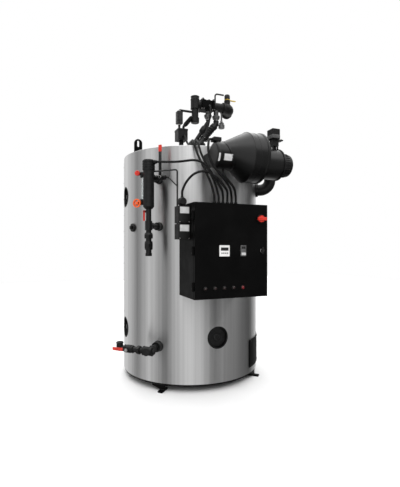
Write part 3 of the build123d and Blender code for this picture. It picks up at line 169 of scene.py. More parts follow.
key_place = Vector((-1.6, -4.4, 3.2))
key_aim = Vector((0, 0, 1.4))
key_size = (1.6, 2.6)
key_power = 36
key = bpy.data.lights.new("key_panel", "AREA")
key.shape = "RECTANGLE"
key.size, key.size_y = key_size
key.energy = key_power
key_panel = bpy.data.objects.new("key_panel", key)
key_panel.location = key_place
key_panel.rotation_euler = (key_aim - key_place).to_track_quat("-Z", "Y").to_euler()
key_panel.visible_glossy = False
scene.collection.objects.link(key_panel)

floor_half = 9.0
floor_mesh = bpy.data.meshes.new("floor")
floor_corners = [(x * floor_half, y * floor_half, 0) for x, y in ((-1, -1), (1, -1), (1, 1), (-1, 1))]
floor_mesh.from_pydata(floor_corners, [], [(0, 1, 2, 3)])
floor = bpy.data.objects.new("floor", floor_mesh)
scene.collection.objects.link(floor)
floor.visible_glossy = False
print("lamps: 2, floor half width:", floor_half)

# %% [markdown]
# ## How the finishes are made
# Every finish is one Principled shader fed by noise in object space, so it needs no unwrapping and is as
# large on the object as on the real thing. Small helpers do the work: grain makes noise and can draw it out
# into streaks, tint turns it into two shades of a colour, span into a range of gloss, and relief into bump.
# Most finishes need one noise for each, so make_finish takes three grains, each as its scale and its detail.

# %% Helpers for finishes
finishes = {}
tint_low, tint_high = 0.35, 0.65
span_low, span_high = 0.3, 0.7
socket_names = {
    "specular": "Specular IOR Level", "coat": "Coat Weight", "transmission": "Transmission Weight",
}


def start_finish(name, metallic=0.0):
    """New material with its Principled shader."""
    finish = bpy.data.materials.new(name)
    finish.use_nodes = True
    tree = finish.node_tree
    shader = tree.nodes["Principled BSDF"]
    shader.inputs["Metallic"].default_value = metallic
    finishes[name] = finish
    return tree, shader


def grain(tree, scale, detail, stretch=(1, 1, 1)):
    """Noise in object space, finer along an axis where stretch is larger."""
    coords = tree.nodes.new("ShaderNodeTexCoord")
    mapping = tree.nodes.new("ShaderNodeMapping")
    mapping.inputs["Scale"].default_value = stretch
    noise = tree.nodes.new("ShaderNodeTexNoise")
    noise.inputs["Scale"].default_value = scale
    noise.inputs["Detail"].default_value = detail
    tree.links.new(coords.outputs["Object"], mapping.inputs["Vector"])
    tree.links.new(mapping.outputs["Vector"], noise.inputs["Vector"])
    return noise.outputs["Fac"]


def tint(tree, source, shader, dark, light):
    """Two shades of a colour, chosen by noise."""
    ramp = tree.nodes.new("ShaderNodeValToRGB")
    for stop, place, colour in zip(ramp.color_ramp.elements, (tint_low, tint_high), (dark, light)):
        stop.position = place
        stop.color = (*colour, 1)
    tree.links.new(source, ramp.inputs["Fac"])
    tree.links.new(ramp.outputs["Color"], shader.inputs["Base Color"])


def span(tree, source, shader, low, high):
    """Roughness between two values, chosen by noise."""
    fit = tree.nodes.new("ShaderNodeMapRange")
    fit.inputs["From Min"].default_value = span_low
    fit.inputs["From Max"].default_value = span_high
    fit.inputs["To Min"].default_value = low
    fit.inputs["To Max"].default_value = high
    tree.links.new(source, fit.inputs["Value"])
    tree.links.new(fit.outputs["Result"], shader.inputs["Roughness"])


def relief(tree, source, shader, strength, depth):
    """Bump of a given depth in metres."""
    bump = tree.nodes.new("ShaderNodeBump")
    bump.inputs["Strength"].default_value = strength
    bump.inputs["Distance"].default_value = depth
    tree.links.new(source, bump.inputs["Height"])
    tree.links.new(bump.outputs["Normal"], shader.inputs["Normal"])


def shade(level, warmth=0.0):
    """Grey of one level, a little warmer or cooler."""
    return (level * (1 + warmth), level, level * (1 - warmth))


def make_finish(name, mottle, colours, patches, gloss, pits=None, bump=None, metallic=0.0, **sockets):
    """Finish from the grains of its colour, gloss and bump; sockets are further constants of the shader."""
    tree, shader = start_finish(name, metallic)
    tint(tree, grain(tree, *mottle), shader, *colours)
    span(tree, grain(tree, *patches), shader, *gloss)
    if pits:
        relief(tree, grain(tree, *pits), shader, *bump)
    for socket, value in sockets.items():
        shader.inputs[socket_names[socket]].default_value = value


print("shader constants by name:", list(socket_names))

# %% [markdown]
# ## Brushed stainless sheet
# The jacket is rolled from brushed sheet. Very weak, fine lines run round it, and the shader's anisotropy is
# turned a quarter so that reflections are drawn out up and down: the bands stay crisp sideways. Two more
# layers of noise are drawn out along the height: a broad one sets the gloss for the slight waves that every
# rolled sheet has, and a narrow one is painted reflection, upright light and dark streaks in the colour for
# what the waves reflect. The flat cover is the same sheet with the same painted streaks, brushed from side to
# side.

# %% Brushed stainless
brush_grain = (60, 5)
brush_bump = (0.012, 0.0003)
tree, shader = start_finish("brushed_stainless", metallic=1.0)
lines = grain(tree, *brush_grain, (0.05, 0.05, 6))
waves = grain(tree, 9, 3, (1, 1, 0.02))
# painted reflection: narrow upright streaks lighten and darken the sheet's colour where the waves would
# reflect
painted_reflection_streaks = grain(tree, 42, 4, (1, 1, 0.008))
tint(tree, painted_reflection_streaks, shader, shade(0.555), shade(0.645))
span(tree, waves, shader, 0.29, 0.36)
relief(tree, lines, shader, *brush_bump)
shader.inputs["Anisotropic"].default_value = 0.9
shader.inputs["Anisotropic Rotation"].default_value = 0.25

tree, shader = start_finish("cover_stainless", metallic=1.0)
lines = grain(tree, *brush_grain, (0.05, 6, 6))
# painted reflection: streaks along the brushing lighten and darken the cover's colour; the same noise sets
# its gloss
painted_reflection_streaks = grain(tree, 30, 4, (0.02, 1, 1))
tint(tree, painted_reflection_streaks, shader, shade(0.56), shade(0.64))
span(tree, painted_reflection_streaks, shader, 0.31, 0.37)
relief(tree, lines, shader, *brush_bump)
print("sheet finishes:", list(finishes))

# %% [markdown]
# ## Black paint, iron and plastic
# The cabinet is powder coated: nearly black, with a dull gloss and the faint orange peel that powder leaves.
# Drum, duct and fan have a smoother black with more shine. The iron pipework has black over a rougher
# casting, so it gets its own deeper bump and a less even gloss. Plastic covers have a fine, even grain, and
# the rubber of the leads is the dullest.

# %% Black finishes
make_finish(
    "satin_black", mottle=(6, 3), colours=(shade(0.0014), shade(0.0026)), patches=(14, 3), gloss=(0.44, 0.54),
    pits=(420, 2), bump=(0.08, 0.0005), specular=0.07,
)
make_finish(
    "gloss_black", mottle=(5, 3), colours=(shade(0.0024), shade(0.0042)), patches=(12, 3), gloss=(0.28, 0.38),
    pits=(380, 2), bump=(0.06, 0.0005), specular=0.42,
)
make_finish(
    "black_iron", mottle=(30, 4), colours=(shade(0.0035), shade(0.0085)), patches=(40, 4), gloss=(0.36, 0.55),
    pits=(260, 5), bump=(0.2, 0.0009), specular=0.3,
)
make_finish(
    "black_plastic", mottle=(25, 3), colours=(shade(0.0045), shade(0.0075)), patches=(60, 3),
    gloss=(0.42, 0.55), pits=(900, 2), bump=(0.15, 0.0004), specular=0.28,
)
make_finish(
    "lead_rubber", mottle=(50, 3), colours=(shade(0.005), shade(0.010)), patches=(60, 3), gloss=(0.4, 0.55),
    pits=(300, 3), bump=(0.1, 0.0006), specular=0.16,
)
print("finishes so far:", len(finishes))

# %% [markdown]
# ## Castings and hardware
# The regulators and the gas pressure switch are bare die castings, grey and mottled. Most bolts and nuts are
# zinc plated. Levers, the small-bore tube, the pilot valve and the other fasteners are blackened steel.

# %% Metal finishes
make_finish(
    "grey_casting", mottle=(35, 5), colours=(shade(0.10), shade(0.21)), patches=(50, 4), gloss=(0.38, 0.6),
    pits=(320, 4), bump=(0.2, 0.0008), metallic=0.85,
)
make_finish(
    "zinc_steel", mottle=(60, 3), colours=(shade(0.42, 0.02), shade(0.58, 0.02)), patches=(80, 3),
    gloss=(0.26, 0.42), pits=(500, 3), bump=(0.08, 0.0005), metallic=1.0,
)
make_finish(
    "dark_steel", mottle=(50, 4), colours=(shade(0.025), shade(0.055)), patches=(70, 3), gloss=(0.32, 0.5),
    pits=(450, 3), bump=(0.12, 0.0005), metallic=0.7,
)
print("finishes so far:", len(finishes))

# %% [markdown]
# ## Coloured grips, instruments and glass
# Most of what a hand turns is coloured: red dipped grips, an orange-red wheel, a yellow gas lever. Vinyl
# has a soft gloss and small ripples, enamel is smoother and harder. Screens and lamp lenses are smooth, so
# they have no bump, and the gauge glass lets light through.

# %% Coloured finishes
make_finish(
    "red_grip", mottle=(40, 3), colours=((0.44, 0.016, 0.008), (0.60, 0.030, 0.014)), patches=(50, 3),
    gloss=(0.32, 0.48), pits=(220, 3), bump=(0.12, 0.0008),
)
make_finish(
    "orange_enamel", mottle=(45, 3), colours=((0.60, 0.075, 0.014), (0.78, 0.12, 0.025)), patches=(50, 3),
    gloss=(0.24, 0.4), pits=(300, 3), bump=(0.1, 0.0006),
)
make_finish(
    "yellow_enamel", mottle=(45, 3), colours=((0.50, 0.33, 0.03), (0.72, 0.50, 0.05)), patches=(50, 3),
    gloss=(0.26, 0.45), pits=(300, 3), bump=(0.1, 0.0006),
)
make_finish(
    "instrument_white", mottle=(40, 3), colours=(shade(0.66, 0.01), shade(0.74, 0.01)), patches=(60, 2),
    gloss=(0.34, 0.46), pits=(800, 2), bump=(0.08, 0.0004),
)
make_finish(
    "instrument_grey", mottle=(40, 3), colours=(shade(0.055), shade(0.085)), patches=(60, 2),
    gloss=(0.36, 0.5), pits=(800, 2), bump=(0.08, 0.0004),
)
make_finish(
    "label_and_highlight_stock", mottle=(30, 3), colours=(shade(0.44), shade(0.54)), patches=(40, 3), gloss=(0.36, 0.52),
    pits=(600, 2), bump=(0.06, 0.0003),
)
make_finish(
    "dark_screen", mottle=(30, 2), colours=(shade(0.012), shade(0.02)), patches=(25, 2), gloss=(0.08, 0.16),
)
make_finish(
    "red_lens", mottle=(90, 2), colours=((0.11, 0.006, 0.009), (0.18, 0.010, 0.014)), patches=(60, 2),
    gloss=(0.1, 0.2), coat=0.3,
)
make_finish(
    "smoke_lens", mottle=(90, 2), colours=((0.010, 0.005, 0.005), (0.022, 0.009, 0.010)), patches=(60, 2),
    gloss=(0.1, 0.2), coat=0.3,
)
make_finish(
    "gauge_tube", mottle=(20, 2), colours=((0.80, 0.86, 0.86), (0.90, 0.94, 0.94)), patches=(30, 2),
    gloss=(0.03, 0.08), transmission=0.85,
)
tree, shader = start_finish("pale_floor")
tint(tree, grain(tree, 3, 3), shader, shade(0.88), shade(0.90))
relief(tree, grain(tree, 200, 3), shader, 0.05, 0.001)
shader.inputs["Roughness"].default_value = 0.8
floor_mesh.materials.append(finishes["pale_floor"])
print("finishes:", len(finishes))

# %% [markdown]
# ## Base coats
# A solid whose shape is right only needs its finish. The table below says which finish belongs to which
# solids; everything that is not named is satin black.

# %% Give every solid its finish
base_coats = {
    "brushed_stainless": ("jacket_front", "jacket_rear", "flue_outlet"),
    "cover_stainless": ("top_cover",),
    "black_iron": (
        "handhole_front", "handhole_rear", "handholes_left", "handholes_right", "inspection_plug",
        "column_upper_pipe", "column_lower_pipe", "blowdown_pipe", "gas_inlet_tee", "gas_main",
        "gas_drop_pipes", "steam_outlet", "feedwater_inlet", "burner_head", "gauge_cocks", "water_column",
        "recirculation_pipe",
    ),
    "gloss_black": ("air_duct", "air_drum", "fan_housing", "fan_motor"),
    "black_plastic": ("pressure_switches", "air_switch", "damper_actuator", "ignition_box", "door_latch"),
    "grey_casting": ("gas_pressure_switch", "gas_regulators"),
    "dark_steel": ("pressure_tube", "column_lever", "blowdown_lever", "pilot_valve"),
    "red_grip": ("disconnect_handle", "gauge_knob", "drain_lever"),
    "orange_enamel": ("gauge_wheel",),
    "yellow_enamel": ("gas_cock_lever",),
    "gauge_tube": ("gauge_glass",),
    "lead_rubber": ("leads",),
    "instrument_white": ("panel_instruments",),
    "smoke_lens": ("pilot_lamps",),
}
coat_of = {name: finish for finish, names in base_coats.items() for name in names}
for name, solid in nodes.items():
    finish = finishes[coat_of.get(name, "satin_black")]
    if not solid.material_slots:
        solid.data.materials.append(finish)
    for place in solid.material_slots:
        place.material = finish
print("coated:", len(nodes))

# %% [markdown]
# ## Broken edges
# No sheet or casting has a razor edge, and the thin line of light on a broken edge is what makes a black box
# readable. Solids come in with their corners split, so each one is first welded, then bevelled by angle, and
# the normals are weighted by area so that flat faces stay flat.

# %% Bevel the boxy solids
weld_reach = 0.00002
sharp_angle = 50
broken_edges = {
    0.0025: ("cabinet_body", "cabinet_door", "pressure_switches", "ignition_box"),
    0.0015: (
        "gas_valve", "pilot_valve", "damper_actuator", "lifting_lug_left", "lifting_lug_right", "air_switch",
        "foot_front_left", "foot_front_right", "foot_rear_left", "foot_rear_right", "cabinet_brackets",
    ),
    0.0006: ("column_lever", "blowdown_lever", "drain_lever", "gas_cock_lever", "gauge_wheel", "gland_plate"),
}
for width, names in broken_edges.items():
    for name in names:
        weld = nodes[name].modifiers.new("weld", "WELD")
        weld.merge_threshold = weld_reach
        bevel = nodes[name].modifiers.new("broken_edge", "BEVEL")
        bevel.width = width
        bevel.segments = 2
        bevel.limit_method = "ANGLE"
        bevel.angle_limit = math.radians(sharp_angle)
        weighted = nodes[name].modifiers.new("weighted_normals", "WEIGHTED_NORMAL")
        weighted.keep_sharp = True
print("bevelled:", sum(len(names) for names in broken_edges.values()))

# %% [markdown]
# ## Frames
# A frame says where a shape goes: its z axis is the direction in which the shape grows. Frames on the round
# jacket are named by their azimuth, which is 0 at the front and grows towards the fan.

# %% Frames
up = (0, 0, 1)
right = (1, 0, 0)
back = (0, 1, 0)


def corners(name):
    """Lowest and highest corner of a solid."""
    lowest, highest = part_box(name)
    return Vector(lowest), Vector(highest)


def middle(name):
    """Middle of a solid's box."""
    lowest, highest = corners(name)
    return (lowest + highest) / 2


def frame_from(origin, z_dir, x_dir):
    """Frame at a point from its z axis and a direction near its x axis."""
    z = Vector(z_dir).normalized()
    x = Vector(x_dir)
    x = (x - z * x.dot(z)).normalized()
    place = Matrix((x, z.cross(x), z)).transposed().to_4x4()
    place.translation = origin
    return place


def upright(x, y, z):
    """Frame that looks up."""
    return frame_from((x, y, z), up, right)


def rightward(x, y, z):
    """Frame that looks along +X, with its x axis upwards."""
    return frame_from((x, y, z), right, up)


def backward(x, y, z):
    """Frame that looks to the back."""
    return frame_from((x, y, z), back, right)


def wall_frame(azimuth, radius, height):
    """Frame on the round jacket: x along the wall, y up, z outwards."""
    angle = math.radians(azimuth)
    out = Vector((math.sin(angle), -math.cos(angle), 0))
    return frame_from(out * radius + Vector((0, 0, height)), out, (math.cos(angle), math.sin(angle), 0))


def shifted(place, x=0.0, y=0.0, z=0.0):
    """The same frame moved along its own axes."""
    return place @ Matrix.Translation((x, y, z))


def ring_frames(place, radius, count, start=0.0):
    """Frames evenly round a circle in a frame's own xy plane."""
    for index in range(count):
        angle = math.radians(start) + math.tau * index / count
        yield shifted(place, radius * math.cos(angle), radius * math.sin(angle))


jacket_r = corners("top_cover")[1].x
jacket_top = corners("top_cover")[1].z
print("jacket radius:", round(jacket_r, 3), "cover at:", round(jacket_top, 3))

# %% [markdown]
# ## Shapes
# The pieces to come are built from a few shapes: something turned on a lathe, a ring of round wire, a rounded
# box, and a tube along a path. A hexagon is only a turned shape with six steps, so nuts, bolts and unions
# come from the same helper as washers. Bolts and screws are made in shares of their own radius.

# %% Shapes
def add_turned(mesh, place, outline, steps=32):
    """Shape turned about the frame's z axis; the outline lists (radius, height) upwards."""
    angles = [math.tau * step / steps for step in range(steps)]
    rings = []
    for radius, height in outline:
        around = [(radius * math.cos(angle), radius * math.sin(angle), height) for angle in angles]
        rings.append([mesh.verts.new(place @ Vector(point)) for point in around])
    for below, above in zip(rings, rings[1:]):
        for step in range(steps):
            after = (step + 1) % steps
            mesh.faces.new((below[step], below[after], above[after], above[step]))
    mesh.faces.new(rings[0][::-1])
    mesh.faces.new(rings[-1])


def add_ring(mesh, place, radius, wire, steps=48, sides=10):
    """Round wire bent to a ring in the frame's xy plane."""
    rows = []
    for step in range(steps):
        turn_here = math.tau * step / steps
        row = []
        for side in range(sides):
            round_wire = math.tau * side / sides
            reach = radius + wire * math.cos(round_wire)
            point = (reach * math.cos(turn_here), reach * math.sin(turn_here), wire * math.sin(round_wire))
            row.append(mesh.verts.new(place @ Vector(point)))
        rows.append(row)
    for row, following in zip(rows, rows[1:] + rows[:1]):
        for side in range(sides):
            after = (side + 1) % sides
            mesh.faces.new((row[side], following[side], following[after], row[after]))


def add_box(mesh, place, size, round_edge=0.0, segments=2):
    """Box centred on the frame's xy and standing on its z = 0, with rounded edges."""
    scaled = shifted(place, z=size[2] / 2) @ Matrix.Diagonal((*size, 1))
    made = bmesh.ops.create_cube(mesh, size=1.0, matrix=scaled)
    if round_edge:
        edges = list(dict.fromkeys(edge for vert in made["verts"] for edge in vert.link_edges))
        bmesh.ops.bevel(mesh, geom=edges, offset=round_edge, segments=segments, profile=0.5, affect="EDGES")


def add_nut(mesh, place, radius, height):
    """Hexagon with chamfered corners; the radius is to the corners."""
    chamfer = 0.08 * radius
    inner = radius - chamfer
    outline = ((inner, 0), (radius, chamfer), (radius, height - chamfer), (inner, height))
    add_turned(mesh, place, outline, 6)


def add_bolt(mesh, place, radius):
    """Washer, hexagon head and the rounded end of the thread; the radius is the washer's."""
    washer_t = 0.2 * radius
    head_h = 0.62 * radius
    thread_r = 0.42 * radius
    add_turned(mesh, place, ((radius, 0), (radius, 0.8 * washer_t), (0.9 * radius, washer_t)), 20)
    add_nut(mesh, shifted(place, z=washer_t), 0.86 * radius, head_h)
    end = shifted(place, z=washer_t + head_h)
    add_turned(mesh, end, ((thread_r, 0), (thread_r, 0.16 * radius), (0.25 * radius, 0.26 * radius)), 12)


def add_screw(mesh, place, radius):
    """Domed screw head with a round recess."""
    dome = ((1, 0), (1, 0.25), (0.85, 0.5), (0.5, 0.62), (0.38, 0.6), (0.3, 0.25))
    add_turned(mesh, place, [(reach * radius, rise_by * radius) for reach, rise_by in dome], 16)


def add_tube(mesh, points, radius, sides=10, ripple=0.0):
    """Tube along a path; a ripple swells it from point to point as in a weld bead."""
    path = [Vector(point) for point in points]
    rows = []
    across = None
    for index, point in enumerate(path):
        ahead = (path[min(index + 1, len(path) - 1)] - path[max(index - 1, 0)]).normalized()
        if across is None:
            across = ahead.orthogonal()
        across = (across - ahead * across.dot(ahead)).normalized()
        third = ahead.cross(across)
        swell = radius * (1 + ripple * (-1) ** index)
        row = []
        for side in range(sides):
            angle = math.tau * side / sides
            row.append(mesh.verts.new(point + swell * (across * math.cos(angle) + third * math.sin(angle))))
        rows.append(row)
    for row, following in zip(rows, rows[1:]):
        for side in range(sides):
            after = (side + 1) % sides
            mesh.faces.new((row[side], row[after], following[after], following[side]))
    mesh.faces.new(rows[0][::-1])
    mesh.faces.new(rows[-1])


def line_points(start, end, pitch):
    """Points at an even pitch along a straight line."""
    first = Vector(start)
    run = Vector(end) - first
    count = max(2, round(run.length / pitch))
    return [first + run * (index / count) for index in range(count + 1)]


print("shapes: turned, ring, box, nut, bolt, screw, tube")

# %% [markdown]
# ## From mesh to piece
# A mesh becomes a piece when it has a finish, smooth shading that keeps sharp edges sharp, and a body to ride
# on.

# %% Pieces
smooth_angle = 38
pieces = []


def make_piece(name, mesh, finish, body="boiler"):
    """Turns the mesh into an object with its finish that rides on a body."""
    bmesh.ops.recalc_face_normals(mesh, faces=mesh.faces)
    data = bpy.data.meshes.new(name)
    mesh.to_mesh(data)
    mesh.free()
    data.materials.append(finishes[finish])
    data.shade_smooth()
    data.set_sharp_from_angle(angle=math.radians(smooth_angle))
    piece = bpy.data.objects.new(name, data)
    scene.collection.objects.link(piece)
    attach(piece, body)
    pieces.append(piece)


# %% [markdown]
# ## Handholes
# The handhole covers sit back in lined openings: each gets a washer and a hexagon nut on its stud, a gasket
# ring, and a thin rolled edge where the liner meets the jacket. The edge has to follow the round jacket, so
# its points are set out on a circle and pushed back onto the wall.

# %% Handholes
weld_pitch = 0.004
bead_sides = 8


def wall_bead(mesh, azimuth, height, radius, wire=0.003, ripple=0.1):
    """Bead that follows the round jacket round an opening or a stub."""
    points = []
    count = round(math.tau * radius / weld_pitch)
    for index in range(count + 1):
        angle = math.tau * index / count
        sideways = radius * math.sin(angle)
        depth = math.sqrt(jacket_r ** 2 - sideways ** 2)
        place = shifted(wall_frame(azimuth, 0, height + radius * math.cos(angle)), x=sideways, z=depth)
        points.append(place.translation)
    add_tube(mesh, points, wire, bead_sides, ripple)


handhole_r = (corners("handhole_front")[1].x - corners("handhole_front")[0].x) / 2
side_low = corners("handholes_left")[0].z + handhole_r
side_high = corners("handholes_left")[1].z - handhole_r
front_z = middle("handhole_front").z
handholes = (
    (0, front_z), (180, front_z), (-90, side_low), (-90, side_high), (90, side_low), (90, side_high),
)
boss_depth = 0.025
stud_washer = ((0.025, 0), (0.025, 0.002), (0.023, 0.003))
stud_nut_r, stud_nut_h = 0.0225, 0.009
liner_inset = 0.001
liner_wire = 0.0016
gasket_inset = 0.014
gasket_depth = 0.004
gasket_wire = 0.004
nuts = bmesh.new()
edges = bmesh.new()
for azimuth, height in handholes:
    boss = wall_frame(azimuth, jacket_r - boss_depth, height)
    add_turned(nuts, boss, stud_washer)
    add_nut(nuts, shifted(boss, z=stud_washer[-1][1]), stud_nut_r, stud_nut_h)
    wall_bead(edges, azimuth, height, handhole_r - liner_inset, liner_wire, 0.0)
    add_ring(edges, shifted(boss, z=-gasket_depth), handhole_r - gasket_inset, gasket_wire, 64)
make_piece("handhole_nuts", nuts, "dark_steel")
make_piece("handhole_edges", edges, "black_iron")
print("handholes:", len(handholes))

# %% [markdown]
# ## Jacket seams
# A cover strip with two rows of screws closes each upright joint of the jacket. The strip is bent to the
# wall: five points across its width, outside and inside, joined from its foot to its head.

# %% Seam strips and screws
seam_azimuths = (76, -104)
strip_half_w = 0.020
strip_t = 0.0016
strip_low = corners("access_panel")[1].z + 0.02
strip_high = jacket_top - 0.03
strip_half_angle = math.degrees(strip_half_w / jacket_r)
strip_shares = (-1, -0.5, 0, 0.5, 1)
seam_screw_rows = 11
seam_screw_inset = 0.04
seam_screw_share = 0.6
seam_screw_r = 0.0045
seam_screw_pitch = (strip_high - strip_low - 2 * seam_screw_inset) / (seam_screw_rows - 1)
strips = bmesh.new()
screws = bmesh.new()
for azimuth in seam_azimuths:
    angles = [azimuth + strip_half_angle * share for share in strip_shares]
    ends = []
    for height in (strip_low, strip_high):
        outer = [wall_frame(angle, jacket_r + strip_t, height).translation for angle in angles]
        inner = [wall_frame(angle, jacket_r - strip_t, height).translation for angle in reversed(angles)]
        ends.append([strips.verts.new(point) for point in outer + inner])
    foot, head = ends
    for index in range(len(foot)):
        after = (index + 1) % len(foot)
        strips.faces.new((foot[index], foot[after], head[after], head[index]))
    strips.faces.new(foot[::-1])
    strips.faces.new(head)
    for row in range(seam_screw_rows):
        height = strip_low + seam_screw_inset + row * seam_screw_pitch
        for side in (-seam_screw_share, seam_screw_share):
            place = wall_frame(azimuth + side * strip_half_angle, jacket_r + strip_t, height)
            add_screw(screws, place, seam_screw_r)
make_piece("jacket_seam_strips", strips, "brushed_stainless")
make_piece("jacket_seam_screws", screws, "zinc_steel")
print("seams:", len(seam_azimuths))

# %% [markdown]
# ## Access panel
# The black access panel is held by a row of screws along its upper and lower edge. They sit on the panel's
# outside, a little proud of the jacket.

# %% Access panel screws
panel_low, panel_high = corners("access_panel")
panel_first_azimuth = 36
panel_screw_step = 11
panel_screw_count = 5
panel_skin = 0.0063
panel_screw_inset = 0.012
panel_screw_r = 0.006
panel_screws = bmesh.new()
for index in range(panel_screw_count):
    azimuth = panel_first_azimuth + index * panel_screw_step
    for height in (panel_low.z + panel_screw_inset, panel_high.z - panel_screw_inset):
        add_screw(panel_screws, wall_frame(azimuth, jacket_r + panel_skin, height), panel_screw_r)
make_piece("access_panel_screws", panel_screws, "dark_steel")
print("panel screws:", 2 * panel_screw_count)

# %% [markdown]
# ## Weld beads
# Feet, lugs and pipe stubs are welded on. A bead is a thin tube whose radius swells a little from point to
# point, which is enough to read as the ripple of a weld.

# %% Beads at lugs and feet
weld_r = 0.003
weld_ripple = 0.12


def weld_line(mesh, start, end):
    """Straight weld bead."""
    add_tube(mesh, line_points(start, end, weld_pitch), weld_r, bead_sides, weld_ripple)


lug_half_t = 0.008
lug_bead_out = 0.001
lug_pad_t = 0.010
lug_bead_inset = 0.021
mesh = bmesh.new()
for name in ("lifting_lug_left", "lifting_lug_right"):
    low, high = corners(name)
    pad_top = low.z + lug_pad_t
    for side in (-1, 1):
        y = side * (lug_half_t + lug_bead_out)
        weld_line(mesh, (low.x + lug_bead_inset, y, pad_top), (high.x - lug_bead_inset, y, pad_top))
        rim_x, rim_y = (high.x, high.y) if side > 0 else (low.x, low.y)
        weld_line(mesh, (low.x, rim_y, low.z), (high.x, rim_y, low.z))
        weld_line(mesh, (rim_x, low.y, low.z), (rim_x, high.y, low.z))

foot_azimuths = (-45, 45, -135, 135)
foot_face = jacket_r - 0.006
foot_top = corners("base_plate")[0].z
head_bead_drop = 0.0005
toe_top = 0.012
toe_bead = (0.007, 0.045)
head_bead = (-0.064, 0.045)
for azimuth in foot_azimuths:
    for height, ends in ((toe_top, toe_bead), (foot_top - head_bead_drop, head_bead)):
        face = wall_frame(azimuth, foot_face, height)
        weld_line(mesh, *(shifted(face, x=x).translation for x in ends))
make_piece("weld_beads", mesh, "black_iron")
print("feet welded:", len(foot_azimuths))

# %% [markdown]
# The stubs of the water column, the blowdown line, the feed water and the recirculation pipe pass through the
# jacket, and each has a bead that follows the wall.

# %% Beads at pipe stubs
column_azimuth = -45
upper_z = middle("column_upper_pipe").z
column_spread = 0.363
lower_z = upper_z - column_spread
feed_azimuth = 160
feed_z = middle("feedwater_inlet").z
blow_azimuth = -45.6
blow_z = 0.349
recirc_azimuth = 58
recirc_z = 1.628
stubs = (
    (column_azimuth, upper_z, 0.031), (column_azimuth, lower_z, 0.031), (blow_azimuth, blow_z, 0.040),
    (feed_azimuth, feed_z, 0.039), (recirc_azimuth, recirc_z, 0.061),
)
mesh = bmesh.new()
for azimuth, height, radius in stubs:
    wall_bead(mesh, azimuth, height, radius)
make_piece("stub_weld_beads", mesh, "black_iron")
print("stubs welded:", len(stubs))

# %% [markdown]
# ## Instruments
# The door carries two instruments. The left one is white with a dark screen and a row of keys, the right one
# is grey with a small screen and a paler plate in its lower half, and both stay blank. Each is a stack of
# thin plates with rounded edges, set out from the middle of the instrument's face.

# %% Instruments
door_low, door_high = corners("cabinet_door")
cab_low, cab_high = corners("cabinet_body")
instrument_low, instrument_high = corners("panel_instruments")
instrument_z = middle("panel_instruments").z
controller_w = instrument_high.z - instrument_low.z
indicator_w = 0.042


def on_door(x, z, front):
    """Frame on the door's outside: x to the right, y up, z outwards."""
    return frame_from((x, front, z), (0, -1, 0), right)


controller = on_door(instrument_low.x + controller_w / 2, instrument_z, instrument_low.y)
indicator = on_door(instrument_high.x - indicator_w / 2, instrument_z, instrument_low.y)
controller_screen = (0.058, 0.022, 0.0016)
indicator_screen = (0.030, 0.016, 0.0010)
mesh = bmesh.new()
add_box(mesh, shifted(controller, y=0.012, z=-0.0005), controller_screen, 0.0005)
add_box(mesh, shifted(indicator, y=0.022, z=0.0008), indicator_screen, 0.0004)
make_piece("instrument_displays", mesh, "dark_screen", "door")

front_over = 0.0008
front_size = (indicator_w + front_over, controller_w + front_over, 0.0086)
key_count = 4
key_pitch = 0.014
key_first = -(key_count - 1) * key_pitch / 2
keycap_size = (0.010, 0.008, 0.0026)
mesh = bmesh.new()
add_box(mesh, shifted(indicator, z=-0.0079), front_size, 0.0012)
for index in range(key_count):
    keycap = shifted(controller, key_first + index * key_pitch, -0.016, -0.0018)
    add_box(mesh, keycap, keycap_size, 0.0008)
make_piece("instrument_fronts", mesh, "instrument_grey", "door")

controller_plate = (0.064, 0.062, 0.0016)
indicator_plate = (0.033, 0.018, 0.0008)
mesh = bmesh.new()
add_box(mesh, shifted(controller, y=-0.002, z=-0.0018), controller_plate, 0.0005)
make_piece("instrument_plates", mesh, "instrument_white", "door")
mesh = bmesh.new()
add_box(mesh, shifted(indicator, y=-0.022, z=0.0006), indicator_plate, 0.0003)
make_piece("instrument_keypad", mesh, "label_and_highlight_stock", "door")
print("keys:", key_count)

# %% [markdown]
# ## Pilot lamps
# Five lamps stand in a row low on the door, with domed lenses in black bezels. Four lenses are dark and the
# last one is red. A dome is a turned shape whose outline runs along a flattened arc.

# %% Pilot lamps
lamp_low, lamp_high = corners("pilot_lamps")
door_face = lamp_high.y
lamp_r = (lamp_high.z - lamp_low.z) / 2
lamp_z = middle("pilot_lamps").z
lamp_count = 5
lamp_pitch = (lamp_high.x - lamp_low.x - 2 * lamp_r) / (lamp_count - 1)
bezel_outline = ((lamp_r + 0.0016, 0), (lamp_r + 0.0016, 0.0024), (lamp_r + 0.0006, 0.0032))
bezel_lip_z = 0.0042
bezel_lip_inset = 0.0012
bezel_lip_wire = 0.0018
lens_r = 0.0104
lens_foot = 0.005
dome_foot = 0.0100
dome_rise = 0.0045
lens_outline = [(lens_r, lens_foot)]
for degrees in (0, 20, 40, 60, 80):
    angle = math.radians(degrees)
    lens_outline.append((lens_r * math.cos(angle), dome_foot + dome_rise * math.sin(angle)))
bezels = bmesh.new()
dark_lenses = bmesh.new()
red_lens = bmesh.new()
for index in range(lamp_count):
    base = on_door(lamp_low.x + lamp_r + index * lamp_pitch, lamp_z, door_face)
    add_ring(bezels, shifted(base, z=bezel_lip_z), lamp_r - bezel_lip_inset, bezel_lip_wire, 40)
    add_turned(bezels, base, bezel_outline, 40)
    lens = red_lens if index == lamp_count - 1 else dark_lenses
    add_turned(lens, base, lens_outline)
make_piece("lamp_bezels", bezels, "black_plastic", "door")
make_piece("lamp_lenses_dark", dark_lenses, "smoke_lens", "door")
make_piece("lamp_lens_red", red_lens, "red_lens", "door")
print("lamps:", lamp_count)

# %% [markdown]
# ## Cabinet hardware
# Hinge leaves and the gland plate are screwed on. Each lead enters through a cable gland: a hexagon body on
# the plate, a smaller hexagon cap above it and a rounded collar round the lead.

